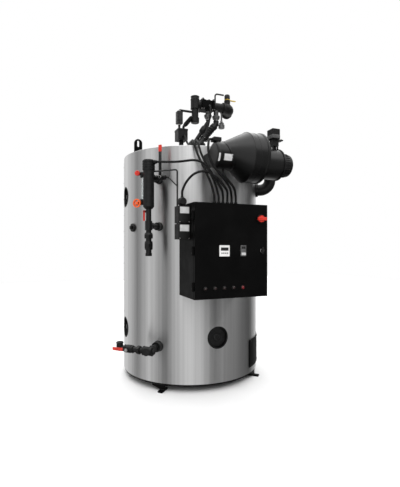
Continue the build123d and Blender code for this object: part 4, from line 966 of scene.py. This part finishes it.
# %% Screws and glands
hinge_back = corners("cabinet_hinges")[1].y
hinge_inset = 0.0885
hinge_heights = (cab_low.z + hinge_inset, middle("cabinet_body").z, cab_high.z - hinge_inset)
leaf_face = cab_low.x - 0.005
leaf_screw_drop = 0.0154
leaf_screw_insets = (0.022, 0.009)
plate_low, plate_high = corners("gland_plate")
plate_top = plate_low.z + 0.004
plate_screw_inset = 0.009
cabinet_screw_r = 0.0045
mesh = bmesh.new()
for height in hinge_heights:
    for inset in leaf_screw_insets:
        spot = (leaf_face, hinge_back - inset, height - leaf_screw_drop)
        add_screw(mesh, frame_from(spot, (-1, 0, 0), back), cabinet_screw_r)
for x in (plate_low.x + plate_screw_inset, plate_high.x - plate_screw_inset):
    for y in (plate_low.y + plate_screw_inset, plate_high.y - plate_screw_inset):
        add_screw(mesh, upright(x, y, plate_top), cabinet_screw_r)
make_piece("cabinet_screws", mesh, "dark_steel")

gland_count = 6
gland_pitch = 0.035
gland_first = plate_low.x + 0.0255
gland_y = middle("gland_plate").y
gland_body_r, gland_cap_r = 0.0165, 0.0145
gland_hex_h = 0.009
gland_cap_z = 0.0105
gland_collar_z = 0.019
gland_collar = ((0.0125, 0), (0.0115, 0.004), (0.0085, 0.0062))
glands = bmesh.new()
for index in range(gland_count):
    base = upright(gland_first + index * gland_pitch, gland_y, plate_top)
    add_nut(glands, base, gland_body_r, gland_hex_h)
    add_nut(glands, shifted(base, z=gland_cap_z), gland_cap_r, gland_hex_h)
    add_turned(glands, shifted(base, z=gland_collar_z), gland_collar, 24)
make_piece("gland_nuts", glands, "black_plastic")
print("glands:", gland_count)

# %% [markdown]
# ## Door seal, disconnect and latch
# The door has a rubber seal along its inner edge, which shows only when it stands open. The disconnect sits
# on a raised black collar with four screws, and the latch in a bright ring.

# %% Door furniture
seal_w = 0.009
seal_depth = 0.012
seal_edge = 0.002
seal_inset = 0.016
hinge_side_inset = 0.0165
door_sheet = 0.003
door_skin = door_face + door_sheet
seal_low_x = door_low.x + hinge_side_inset + seal_inset
seal_high_x = door_high.x - seal_inset
seal_low_z = door_low.z + seal_inset
seal_high_z = door_high.z - seal_inset
seal_x = (seal_low_x + seal_high_x) / 2
seal_z = (seal_low_z + seal_high_z) / 2
seal_back = door_skin + seal_depth
seal = bmesh.new()
for z in (seal_low_z, seal_high_z):
    add_box(seal, on_door(seal_x, z, seal_back), (seal_high_x - seal_low_x, seal_w, seal_depth), seal_edge)
for x in (seal_low_x, seal_high_x):
    add_box(seal, on_door(x, seal_z, seal_back), (seal_w, seal_high_z - seal_low_z, seal_depth), seal_edge)
make_piece("door_seal", seal, "lead_rubber", "door")

disconnect = middle("disconnect_handle")
collar_r, collar_wire, collar_rise = 0.0295, 0.0022, 0.0065
collar_screw_ring, collar_screw_r, collar_screw_rise = 0.0275, 0.0022, 0.008
collar = bmesh.new()
collar_foot = on_door(disconnect.x, disconnect.z, door_face - collar_rise)
add_ring(collar, collar_foot, collar_r, collar_wire)
screw_plane = on_door(disconnect.x, disconnect.z, door_face - collar_screw_rise)
for place in ring_frames(screw_plane, collar_screw_ring, 4, 45):
    add_screw(collar, place, collar_screw_r)
make_piece("disconnect_collar", collar, "black_plastic", "door")

latch = middle("door_latch")
latch_ring_r, latch_ring_wire, latch_ring_rise = 0.0142, 0.0016, 0.0006
escutcheon = bmesh.new()
latch_foot = on_door(latch.x, latch.z, door_face - latch_ring_rise)
add_ring(escutcheon, latch_foot, latch_ring_r, latch_ring_wire, 40, 8)
make_piece("latch_escutcheon", escutcheon, "zinc_steel", "door")
print("seal:", round(seal_high_x - seal_low_x, 3), "by", round(seal_high_z - seal_low_z, 3))

# %% [markdown]
# ## Pressure switches
# Two boxes hang beside the cabinet. Each has a front cover with rounded edges, held by two screws along its
# lower edge, and a blank white label in its upper half.

# %% Switch covers and labels
switch_low, switch_high = corners("pressure_switches")
switch_x = middle("pressure_switches").x
switch_w = switch_high.x - switch_low.x
switch_boxes = (
    (cab_high.z - 0.138, cab_high.z - 0.022),
    (cab_high.z - 0.250, cab_high.z - 0.144),
)
cover_gap = 0.005
cover_t = 0.004
cover_edge = 0.0018
switch_label_size = (0.066, 0.044, 0.0006)
label_drop = 0.029
label_lift_z = 0.0038
cover_screw_r = 0.0036
cover_screw_side, cover_screw_foot = 0.008, 0.0075
covers = bmesh.new()
labels = bmesh.new()
cover_screws = bmesh.new()
for low_z, high_z in switch_boxes:
    half_h = (high_z - low_z) / 2
    front = on_door(switch_x, (low_z + high_z) / 2, switch_low.y)
    add_box(covers, front, (switch_w - cover_gap, high_z - low_z - cover_gap, cover_t), cover_edge)
    add_box(labels, shifted(front, y=half_h - label_drop, z=label_lift_z), switch_label_size)
    for side in (-1, 1):
        x = side * (switch_w / 2 - cover_screw_side)
        add_screw(cover_screws, shifted(front, x, cover_screw_foot - half_h, cover_t), cover_screw_r)
make_piece("switch_covers", covers, "black_plastic")
make_piece("switch_labels", labels, "label_and_highlight_stock")
make_piece("switch_screws", cover_screws, "zinc_steel")
print("switches:", len(switch_boxes))

# %% [markdown]
# ## Water column
# Screwed pipework shows hexagons wherever a spanner goes: unions in the drain leg, the ends of the shut-off
# valve, the packing nuts of the gauge glass and the fitting of the level probe. The column hangs at 45
# degrees to the front, so its pieces are placed along the wall and towards the boiler. A nut is named by its
# radius and its height.

# %% Column fittings
column_axis = middle("water_column")
column_az = math.radians(column_azimuth)
along = Vector((math.cos(column_az), math.sin(column_az), 0))
inward = Vector((-math.sin(column_az), math.cos(column_az), 0))
column_foot = Vector((column_axis.x, column_axis.y, 0))


def by_column(x, y, z):
    """Point beside the column: x along the wall, y towards the boiler, z up."""
    return column_foot + along * x + inward * y + Vector((0, 0, z))


drain_end = corners("column_lower_pipe")[0].z
cock_low, cock_high = corners("gauge_cocks")
glass_x = -0.054
cock_end_x = -0.098
probe_z = column_axis.z + 0.163
drain_unions = ((0.062, 0.0345, 0.032), (0.134, 0.0355, 0.024), (0.002, 0.0275, 0.018))
valve_end_ys = (0.056, 0.094)
valve_nut = (0.0285, 0.012)
lower_nut_y = 0.036
lower_nut = (0.0275, 0.014)
packing_zs = (cock_low.z + 0.016, cock_high.z - 0.040)
packing_nut = (0.0178, 0.012)
cock_half = 0.013
cock_nut = (0.0155, 0.010)
probe_nuts = ((0.0474, 0.0165, 0.010), (0.0580, 0.0135, 0.009))
mesh = bmesh.new()
for low_z, radius, height in drain_unions:
    add_nut(mesh, frame_from(by_column(0, 0, drain_end + low_z), up, along), radius, height)
for y in valve_end_ys:
    add_nut(mesh, frame_from(by_column(0, y, upper_z), inward, along), *valve_nut)
add_nut(mesh, frame_from(by_column(0, lower_nut_y, lower_z), inward, along), *lower_nut)
for z in packing_zs:
    add_nut(mesh, frame_from(by_column(glass_x, 0, z), up, along), *packing_nut)
for z in (cock_low.z + cock_half, cock_high.z - cock_half):
    add_nut(mesh, frame_from(by_column(cock_end_x, 0, z), along, inward), *cock_nut)
for x, radius, height in probe_nuts:
    add_nut(mesh, frame_from(by_column(x, 0, probe_z), along, up), radius, height)
make_piece("column_unions", mesh, "black_iron")
print("drain unions:", len(drain_unions))

# %% [markdown]
# The shut-off lever is held by a nut, and its end is dipped in red vinyl: a sleeve with well rounded edges.
# Behind the gauge glass runs the red stripe that makes the water line easy to see, and two thin rods guard
# the glass.

# %% Column lever and gauge glass
stem_x = 0.068
lever_skin = 0.049
seat = 0.0003
grip_out = 0.002
lever_nut_r, lever_nut_h = 0.0125, 0.0065
lever_top = corners("column_lever")[1].z
sleeve_over = 0.001
sleeve_size = (0.0275, 0.0095, 0.052)
grip_edge = 0.0042
mesh = bmesh.new()
nut_foot = by_column(stem_x, lever_skin - seat, upper_z)
add_nut(mesh, frame_from(nut_foot, -inward, along), lever_nut_r, lever_nut_h)
make_piece("column_lever_nut", mesh, "zinc_steel", "column_lever_body")
sleeve_foot = by_column(stem_x, lever_skin + grip_out, lever_top - sleeve_size[2] + sleeve_over)
mesh = bmesh.new()
add_box(mesh, frame_from(sleeve_foot, up, along), sleeve_size, grip_edge, 4)
make_piece("column_lever_grip", mesh, "red_grip", "column_lever_body")

glass_low, glass_high = corners("gauge_glass")
glass_h = glass_high.z - glass_low.z
stripe_back = 0.0098
stripe_inset = 0.02
stripe_w, stripe_t = 0.005, 0.0012
guard_back = 0.0105
guard_xs = (-0.012, 0.012)
guard_over = 0.012
guard_r = 0.002
guard_pitch = 0.05
mesh = bmesh.new()
stripe_foot = frame_from(by_column(glass_x, stripe_back, glass_low.z + stripe_inset), up, along)
add_box(mesh, stripe_foot, (stripe_w, stripe_t, glass_h - 2 * stripe_inset), 0.0003)
make_piece("gauge_stripe", mesh, "red_grip")
mesh = bmesh.new()
for x in guard_xs:
    rod_foot = by_column(glass_x + x, guard_back, glass_low.z - guard_over)
    rod_head = rod_foot + Vector((0, 0, glass_h + 2 * guard_over))
    add_tube(mesh, line_points(rod_foot, rod_head, guard_pitch), guard_r)
make_piece("gauge_guard_rods", mesh, "dark_steel")
print("gauge glass:", round(glass_h, 3))

# %% [markdown]
# ## Blowdown line
# The line at the foot of the jacket is screwed together from a tee, a union, a lever valve and an elbow. The
# fittings get their hexagons and beads, and the lever its nut and red grip.

# %% Blowdown fittings and grip
blow_r = 0.755
blow_az = math.radians(blow_azimuth)
blow_along = Vector((math.cos(blow_az), math.sin(blow_az), 0))
blow_in = Vector((-math.sin(blow_az), math.cos(blow_az), 0))
blow_tee = Vector((blow_r * math.sin(blow_az), -blow_r * math.cos(blow_az), blow_z))


def by_blow(x, y, z=0.0):
    """Point beside the blowdown tee: x along the wall, y towards the boiler, z above the line."""
    return blow_tee + blow_along * x + blow_in * y + Vector((0, 0, z))


blow_nuts = (
    (0.044, 0.0235, 0.009), (-0.068, 0.0335, 0.022), (-0.127, 0.031, 0.012), (-0.192, 0.031, 0.012),
)
tee_bead_xs = (-0.037, 0.037)
tee_bead_r, elbow_bead_r = 0.0315, 0.0262
blow_bead_wire = 0.003
elbow_x, elbow_top = -0.250, 0.040
tee_nut_y = 0.052
tee_nut = (0.0305, 0.014)
mesh = bmesh.new()
for x, radius, length in blow_nuts:
    add_nut(mesh, frame_from(by_blow(x, 0), -blow_along, up), radius, length)
for x in tee_bead_xs:
    add_ring(mesh, frame_from(by_blow(x, 0), blow_along, up), tee_bead_r, blow_bead_wire, 40)
elbow_mouth_foot = by_blow(elbow_x, 0, elbow_top)
add_ring(mesh, frame_from(elbow_mouth_foot, up, blow_along), elbow_bead_r, blow_bead_wire, 40)
add_nut(mesh, frame_from(by_blow(0, tee_nut_y), blow_in, blow_along), *tee_nut)
make_piece("blowdown_unions", mesh, "black_iron")

blow_valve_x = -0.165
blow_lever_skin = -0.042
blow_nut_h = 0.006
blow_grip_reach = 0.1228
blow_grip_size = (0.0245, 0.0095, 0.092)
mesh = bmesh.new()
nut_foot = by_blow(blow_valve_x, blow_lever_skin - seat)
add_nut(mesh, frame_from(nut_foot, -blow_in, blow_along), lever_nut_r, blow_nut_h)
make_piece("blowdown_lever_nut", mesh, "zinc_steel", "blowdown_lever_body")
mesh = bmesh.new()
grip_foot = by_blow(blow_valve_x - blow_grip_reach, blow_lever_skin + grip_out)
add_box(mesh, frame_from(grip_foot, blow_along, up), blow_grip_size, grip_edge, 4)
make_piece("blowdown_lever_grip", mesh, "red_grip", "blowdown_lever_body")
print("blowdown nuts:", len(blow_nuts))

# %% [markdown]
# ## Blower
# The drum is spun sheet with two rolled beads and bolts through the rear lip. The fan housing has a ring at
# each end, and the outer one, towards the motor, is bolted.

# %% Drum and fan housing
drum_back = corners("air_drum")[1].x
drum = middle("air_drum")
drum_r = 0.180
drum_beads = ((0.102, drum_r, 0.0028), (0.150, drum_r - 0.0006, 0.0022))
fan_low, fan_high = corners("fan_housing")
fan = middle("fan_housing")
fan_r = (fan_high.z - fan_low.z) / 2
outer_ring = ((fan_r + 0.006, -0.016), (fan_r + 0.006, -0.007), (fan_r + 0.004, -0.005))
inner_ring = ((fan_r + 0.010, 0), (fan_r + 0.010, 0.007), (fan_r + 0.008, 0.009))
mesh = bmesh.new()
for x, radius, wire in drum_beads:
    add_ring(mesh, rightward(x, drum.y, drum.z), radius, wire, 96)
add_turned(mesh, rightward(fan_high.x, fan.y, fan.z), outer_ring, 72)
add_turned(mesh, rightward(fan_low.x, fan.y, fan.z), inner_ring, 72)
make_piece("blower_beads", mesh, "gloss_black")

drum_bolt_ring, drum_bolt_r = 0.166, 0.008
fan_bolt_inset, fan_bolt_r = 0.010, 0.0065
fan_bolt_depth, fan_bolt_lift = 0.005, 0.0045
mesh = bmesh.new()
for place in ring_frames(rightward(drum_back, drum.y, drum.z), drum_bolt_ring, 12, 15):
    add_bolt(mesh, place, drum_bolt_r)
fan_bolt_plane = rightward(fan_high.x - fan_bolt_depth, fan.y, fan.z)
for place in ring_frames(fan_bolt_plane, fan_r - fan_bolt_inset, 8, 22.5):
    add_bolt(mesh, shifted(place, z=fan_bolt_lift), fan_bolt_r)
make_piece("blower_bolts", mesh, "dark_steel")
print("fan radius:", round(fan_r, 3))

# %% [markdown]
# ## Fan motor
# Straight cooling fins run along the motor, and its end is closed by a guard of wire rings on six spokes
# round a small hub.

# %% Motor fins and guard
motor_low, motor_high = corners("fan_motor")
motor_r = (motor_high.z - motor_low.z) / 2
fin_count = 30
fin_sink = 0.002
fin_t, fin_h = 0.0032, 0.006
fin_low = motor_low.x + 0.014
fin_length = motor_high.x - 0.034 - fin_low
guard_rings = (0.018, 0.034, 0.050)
guard_wire = 0.0022
guard_hub = ((0.011, 0), (0.011, 0.006), (0.008, 0.008))
ring_sink, hub_sink, spoke_sink = 0.0002, 0.004, 0.001
spoke_count = 6
spoke_mid = 0.034
spoke_size = (0.046, 0.0035, 0.0022)


def round_fan(index, count):
    """Direction away from the fan's line, one of a count evenly round it."""
    angle = math.tau * index / count
    return Vector((0, math.sin(angle), math.cos(angle)))


fins = bmesh.new()
for index in range(fin_count):
    out = round_fan(index, fin_count)
    fin_foot = Vector((fin_low, fan.y, fan.z)) + out * (motor_r - fin_sink) + Vector((fin_length / 2, 0, 0))
    add_box(fins, frame_from(fin_foot, out, right), (fin_length, fin_t, fin_h), 0.0008, 1)
for reach in guard_rings:
    add_ring(fins, rightward(motor_high.x - ring_sink, fan.y, fan.z), reach, guard_wire, 48, 8)
add_turned(fins, rightward(motor_high.x - hub_sink, fan.y, fan.z), guard_hub, 24)
for index in range(spoke_count):
    out = round_fan(index, spoke_count)
    spoke = Vector((motor_high.x - spoke_sink, fan.y, fan.z)) + out * spoke_mid
    add_box(fins, frame_from(spoke, right, out), spoke_size, 0.0006, 1)
make_piece("motor_fins", fins, "gloss_black")
print("fins:", fin_count)

# %% [markdown]
# ## Damper drive and recirculation pipe
# The damper drive is a black lid over a grey body, with a screw near each corner of the lid and two bolts in
# its foot. Where the recirculation pipe enters the jacket it has a low collar.

# %% Damper drive and collar
drive_top = corners("damper_actuator")[1].z
drive_foot = drive_top - 0.078
drive_x = 0.4025
drive_size = (0.0722, 0.0832, 0.036)
drive_edge = 0.0075
lid_screw_x, lid_screw_y, lid_screw_r = 0.027, 0.032, 0.0042
lid_screw_sink = 0.0006
drive_bolt_x, drive_bolt_y, drive_bolt_r = 0.462, 0.017, 0.006
mesh = bmesh.new()
add_box(mesh, upright(drive_x, fan.y, drive_foot), drive_size, drive_edge, 4)
make_piece("damper_drive_body", mesh, "instrument_grey")
mesh = bmesh.new()
for x in (-lid_screw_x, lid_screw_x):
    for y in (-lid_screw_y, lid_screw_y):
        add_screw(mesh, upright(drive_x + x, fan.y + y, drive_top - lid_screw_sink), lid_screw_r)
for y in (-drive_bolt_y, drive_bolt_y):
    add_bolt(mesh, upright(drive_bolt_x, fan.y + y, drive_foot), drive_bolt_r)
make_piece("damper_drive_screws", mesh, "zinc_steel")

recirc_flange = 0.014
recirc_sink = 0.0004
recirc_collar = ((0.0585, 0), (0.0585, 0.002), (0.0555, 0.004))
mesh = bmesh.new()
collar_place = wall_frame(recirc_azimuth, jacket_r + recirc_flange, recirc_z)
add_turned(mesh, shifted(collar_place, z=-recirc_sink), recirc_collar, 56)
make_piece("recirculation_collar", mesh, "black_iron")
print("damper drive top:", round(drive_top, 3))

# %% [markdown]
# ## A label and a painted highlight on curved sheet
# A blank label and a pale strip lie on the duct and its cone; the strip, on the rim of the duct's end, is a
# painted highlight. A flat plate would stand off the curve, so a grid of points is dropped onto the solids
# from the front and lifted off the surface by a hair.

# %% Label and painted highlight on curved sheet
def sheet_below(names):
    """Search tree over the faces of some solids, as they stand in the world."""
    points = []
    faces = []
    for name in names:
        solid = nodes[name]
        start = len(points)
        points += [solid.matrix_world @ vert.co for vert in solid.data.vertices]
        faces += [[start + index for index in polygon.vertices] for polygon in solid.data.polygons]
    return BVHTree.FromPolygons(points, faces)


bpy.context.view_layer.update()
duct_skin = sheet_below(("air_duct", "air_drum"))
label_lift = 0.0012
cast_from_y = -2.0
label_rows = 10


def add_draped(mesh, x_span, z_span, columns, rows):
    """Grid dropped from the front onto the duct."""
    grid = []
    for row in range(rows + 1):
        z = z_span[0] + (z_span[1] - z_span[0]) * row / rows
        line = []
        for column in range(columns + 1):
            x = x_span[0] + (x_span[1] - x_span[0]) * column / columns
            spot, normal = duct_skin.ray_cast(Vector((x, cast_from_y, z)), Vector(back))[:2]
            line.append(mesh.verts.new(spot + normal.normalized() * label_lift))
        grid.append(line)
    for line, above in zip(grid, grid[1:]):
        for column in range(columns):
            mesh.faces.new((line[column], line[column + 1], above[column + 1], above[column]))


duct_label_and_painted_highlight = (
    ("duct_label", (-0.098, -0.036), (drum.z - 0.0505, drum.z - 0.008), 14),
    # painted highlight: the pale strip on the rim of the duct's end stands for light caught on that rim
    ("duct_rim_painted_highlight", (-0.137, -0.127), (drum.z - 0.057, drum.z - 0.006), 5),
)
for name, x_span, z_span, columns in duct_label_and_painted_highlight:
    mesh = bmesh.new()
    add_draped(mesh, x_span, z_span, columns, label_rows)
    make_piece(name, mesh, "label_and_highlight_stock")
print("labels:", len(duct_label_and_painted_highlight))

# %% [markdown]
# ## Gas train bolts and fittings
# The flanges of the main valve get bolts on both faces, and that of the burner head on top. The regulators
# have a ring of screws round the waist and a hexagon below, and hexagon plugs close the valve's tappings.

# %% Gas train bolts and fittings
valve_low, valve_high = corners("gas_valve")
gas_y = middle("gas_valve").y
gas_z = valve_high.z - 0.054
flange_t = 0.012
flange_bolt_y, flange_bolt_z, flange_bolt_r = 0.042, 0.041, 0.0068
head = middle("burner_head")
head_flange_t = 0.016
head_bolt_ring, head_bolt_r = 0.096, 0.0085
mesh = bmesh.new()
for x, way in ((valve_low.x + flange_t, 1), (valve_high.x - flange_t, -1)):
    for y in (gas_y - flange_bolt_y, gas_y + flange_bolt_y):
        for z in (gas_z - flange_bolt_z, gas_z + flange_bolt_z):
            add_bolt(mesh, frame_from((x, y, z), (way, 0, 0), up), flange_bolt_r)
            add_bolt(mesh, frame_from((x - way * flange_t, y, z), (-way, 0, 0), up), flange_bolt_r)
for place in ring_frames(upright(head.x, head.y, jacket_top + head_flange_t), head_bolt_ring, 8, 22.5):
    add_bolt(mesh, place, head_bolt_r)
make_piece("gas_train_bolts", mesh, "zinc_steel")

regulator_foot = corners("gas_regulators")[0].z
small_drop_x = valve_high.x - 0.043
main_drop_x = valve_high.x + 0.037
waist_rise = 0.042
waist_screw_ring, waist_screw_r, waist_screw_sink = 0.0285, 0.0042, 0.0004
regulator_nut_r, regulator_nut_h = 0.0235, 0.010
nut_sink = 0.001
gas_switch = middle("gas_pressure_switch")
gas_switch_nut_z = corners("gas_pressure_switch")[0].z + 0.058
gas_switch_nut = (0.0135, 0.012)
tapping_inset = 0.032
tapping_plug = (0.0115, 0.008)
mesh = bmesh.new()
for x in (small_drop_x, main_drop_x):
    for place in ring_frames(upright(x, gas_y, regulator_foot + waist_rise), waist_screw_ring, 6):
        add_screw(mesh, shifted(place, z=-waist_screw_sink), waist_screw_r)
    add_nut(mesh, upright(x, gas_y, regulator_foot - nut_sink), regulator_nut_r, regulator_nut_h)
add_nut(mesh, upright(gas_switch.x, gas_y, gas_switch_nut_z), *gas_switch_nut)
for x in (valve_low.x + tapping_inset, valve_high.x - tapping_inset):
    add_nut(mesh, upright(x, gas_y, valve_high.z - nut_sink), *tapping_plug)
make_piece("gas_fittings", mesh, "zinc_steel")
print("gas train at height:", round(gas_z, 3))

# %% [markdown]
# ## Gas pipework
# Screwed fittings have a rolled bead at the mouth: the tee has four, the main two and the elbow at its end
# two close together. A hexagon sits under the cock's lever.

# %% Beads of the gas pipes
tee_top = corners("gas_inlet_tee")[1].z
tee_x = -0.013
tee_wire = 0.0026
tee_beads = (
    (tee_top - 0.026, 0.0365), (tee_top - 0.002, 0.0365), (gas_z - 0.042, 0.0385), (gas_z + 0.038, 0.0385),
)
main_bead_xs = (valve_high.x + 0.010, valve_high.x + 0.104)
main_bead_r, main_bead_wire = 0.0405, 0.0035
cock_x = valve_high.x + 0.150
gas_cock_nut_drop = 0.020
gas_cock_nut = (0.0315, 0.014)
cock_lever_low, cock_lever_high = corners("gas_cock_lever")
gas_elbow_x = valve_high.x + 0.183
elbow_mouth = corners("gas_main")[1].y
elbow_ring_depths = (0.002, 0.014)
elbow_ring_r, elbow_ring_wire = 0.0572, 0.0026
mesh = bmesh.new()
for z, radius in tee_beads:
    add_ring(mesh, upright(tee_x, gas_y, z), radius, tee_wire)
for x in main_bead_xs:
    add_ring(mesh, rightward(x, gas_y, gas_z), main_bead_r, main_bead_wire, 56)
add_nut(mesh, upright(cock_x, gas_y, cock_lever_low.z - gas_cock_nut_drop), *gas_cock_nut)
for depth in elbow_ring_depths:
    add_ring(mesh, backward(gas_elbow_x, elbow_mouth - depth, gas_z), elbow_ring_r, elbow_ring_wire, 56)
make_piece("gas_beads", mesh, "black_iron")
print("beads on the tee:", len(tee_beads))

# %% [markdown]
# ## Drop pipes
# Two pipes lean from the regulators down to the burner. Their unions, a sleeve and a bolted flange are placed
# by their share of the way down.

# %% Drop pipe unions
drop_foot_z = jacket_top + 0.148
main_start = Vector((main_drop_x, gas_y, regulator_foot - 0.027))
main_run = Vector((0.034, gas_y, drop_foot_z)) - main_start
small_start = Vector((small_drop_x, gas_y, regulator_foot - 0.019))
small_run = Vector((-0.014, gas_y, drop_foot_z)) - small_start
drop_flange = ((0.043, 0), (0.043, 0.010), (0.041, 0.011))
drop_flange_shares = (0.68, 0.735)
main_union_share, small_union_share, small_sleeve_share = 0.10, 0.30, 0.26
main_union = (0.036, 0.030)
small_union = (0.028, 0.034)
small_sleeve = ((0.023, 0), (0.025, 0.004), (0.025, 0.056), (0.023, 0.060))
drop_bolt_ring, drop_bolt_r = 0.0355, 0.0055


def down_main(share):
    """Frame on the main drop pipe, a share of the way down."""
    return frame_from(main_start + main_run * share, main_run, back)


def down_small(share):
    """Frame on the small drop pipe, a share of the way down."""
    return frame_from(small_start + small_run * share, small_run, back)


mesh = bmesh.new()
add_nut(mesh, down_main(main_union_share), *main_union)
for share in drop_flange_shares:
    add_turned(mesh, down_main(share), drop_flange, 40)
add_nut(mesh, down_small(small_union_share), *small_union)
add_turned(mesh, down_small(small_sleeve_share), small_sleeve)
make_piece("drop_unions", mesh, "black_iron")
mesh = bmesh.new()
flange_face = shifted(down_main(drop_flange_shares[-1]), z=drop_flange[-1][1])
for place in ring_frames(flange_face, drop_bolt_ring, 6):
    add_bolt(mesh, place, drop_bolt_r)
make_piece("drop_flange_bolts", mesh, "zinc_steel")
print("main drop:", round(main_run.length, 3), "small drop:", round(small_run.length, 3))

# %% [markdown]
# ## Pilot hose
# A short ribbed hose runs from the tee down to the ignition side. Its outline is worked out ridge by ridge
# between two plain ends and turned on the lathe.

# %% Hose bellows
hose_high = Vector((tee_x - 0.030, gas_y, 2.2655))
hose_low = Vector((-0.111, gas_y, 2.1845))
hose_run = hose_low - hose_high
hose_end_r, hose_end = 0.0165, 0.010
groove_r, ridge_r = 0.0160, 0.0195
ridge_count = 9
ridge = (hose_run.length - 2 * hose_end) / ridge_count
ridge_shape = ((groove_r, 0.1), (ridge_r, 0.4), (ridge_r, 0.6), (groove_r, 0.9))
bellows = [(hose_end_r, 0), (hose_end_r, hose_end)]
for index in range(ridge_count):
    bellows += [(radius, hose_end + (index + share) * ridge) for radius, share in ridge_shape]
bellows += [(hose_end_r, hose_run.length - hose_end), (hose_end_r, hose_run.length)]
mesh = bmesh.new()
add_turned(mesh, frame_from(hose_high, hose_run, back), bellows)
make_piece("hose_bellows", mesh, "lead_rubber")
print("hose:", round(hose_run.length, 3), "ridges:", ridge_count)

# %% [markdown]
# ## Gas cock and ignition box
# The cock's cap is black over the yellow lever, so it gets a close black cover that turns with it. The
# ignition box has a flat lid with four screws, and the pilot valve above it a hexagon at each end.

# %% Cock cap and ignition box
cap_r, cap_top_r = 0.0256, 0.0196
cap_round = 0.008
cap_over = 0.0005
lever_t = 0.0065
cap_h = cock_lever_high.z - cock_lever_low.z - lever_t
mesh = bmesh.new()
cap_outline = ((cap_r, 0), (cap_r, cap_h - cap_round), (cap_top_r, cap_h + cap_over))
add_turned(mesh, upright(cock_x, gas_y, cock_lever_low.z + lever_t), cap_outline, 40)
make_piece("gas_cock_cap", mesh, "black_iron", "gas_lever_body")

ignition_x = -0.143
ignition_top = 2.142
lid_size = (0.0895, 0.1025, 0.0185)
lid_depth = 0.018
lid_edge = 0.0025
box_screw_x, box_screw_y, box_screw_r = 0.035, 0.041, 0.0038
box_screw_lift = 0.0004
pilot = middle("pilot_valve")
pilot_low, pilot_high = corners("pilot_valve")
pilot_foot_nut = (0.0145, 0.011)
pilot_head_nut = (0.0155, 0.010)
mesh = bmesh.new()
add_box(mesh, upright(ignition_x, gas_y, ignition_top - lid_depth), lid_size, lid_edge)
make_piece("ignition_lid", mesh, "black_plastic")
mesh = bmesh.new()
for x in (-box_screw_x, box_screw_x):
    for y in (-box_screw_y, box_screw_y):
        add_screw(mesh, upright(ignition_x + x, gas_y + y, ignition_top + box_screw_lift), box_screw_r)
add_nut(mesh, upright(pilot.x, gas_y, pilot_low.z - 0.012), *pilot_foot_nut)
add_nut(mesh, upright(pilot.x, gas_y, pilot_high.z + 0.0005), *pilot_head_nut)
make_piece("ignition_fittings", mesh, "zinc_steel")
print("ignition box top:", ignition_top)

# %% [markdown]
# ## Back and top
# The hidden side is finished plainly. The flue collar has a rolled bead near its open end, screws in its rim
# and painted shade in its throat, a thin black disc, and the steam flange carries the raised ring that its
# gasket sits on.

# %% Flue and steam connections
flue_end = corners("flue_outlet")[1].y
flue = middle("flue_outlet")
flue_r = 0.125
flue_bead_inset, flue_bead_wire = 0.030, 0.0028
flue_rim_t = 0.012
throat_lift = 0.0002
throat = ((flue_r - 0.0064, 0), (flue_r - 0.0064, 0.0006), (flue_r - 0.0070, 0.0010))
flue_screw_out, flue_screw_r = 0.018, 0.0055
mesh = bmesh.new()
add_ring(mesh, backward(flue.x, flue_end - flue_bead_inset, flue.z), flue_r, flue_bead_wire, 80)
make_piece("flue_bead", mesh, "brushed_stainless")
mesh = bmesh.new()
# painted shade: a thin black disc inside the collar stands for the shaded depth of the flue
add_turned(mesh, backward(flue.x, jacket_r + flue_rim_t + throat_lift, flue.z), throat, 64)
make_piece("flue_painted_shade", mesh, "satin_black")
mesh = bmesh.new()
rim = backward(flue.x, jacket_r + flue_rim_t, flue.z)
for place in ring_frames(rim, flue_r + flue_screw_out, 8, 22.5):
    add_screw(mesh, place, flue_screw_r)
make_piece("flue_screws", mesh, "zinc_steel")

steam = middle("steam_outlet")
steam_top = corners("steam_outlet")[1].z
steam_ring_r, steam_ring_wire, steam_ring_drop = 0.045, 0.0016, 0.0012
mesh = bmesh.new()
steam_face = upright(steam.x, steam.y, steam_top - steam_ring_drop)
add_ring(mesh, steam_face, steam_ring_r, steam_ring_wire, 64, 8)
make_piece("steam_flange_ring", mesh, "black_iron")
print("pieces added:", len(pieces))

# %% [markdown]
# ## Sizes
# Dressing the boiler should hardly make it larger.
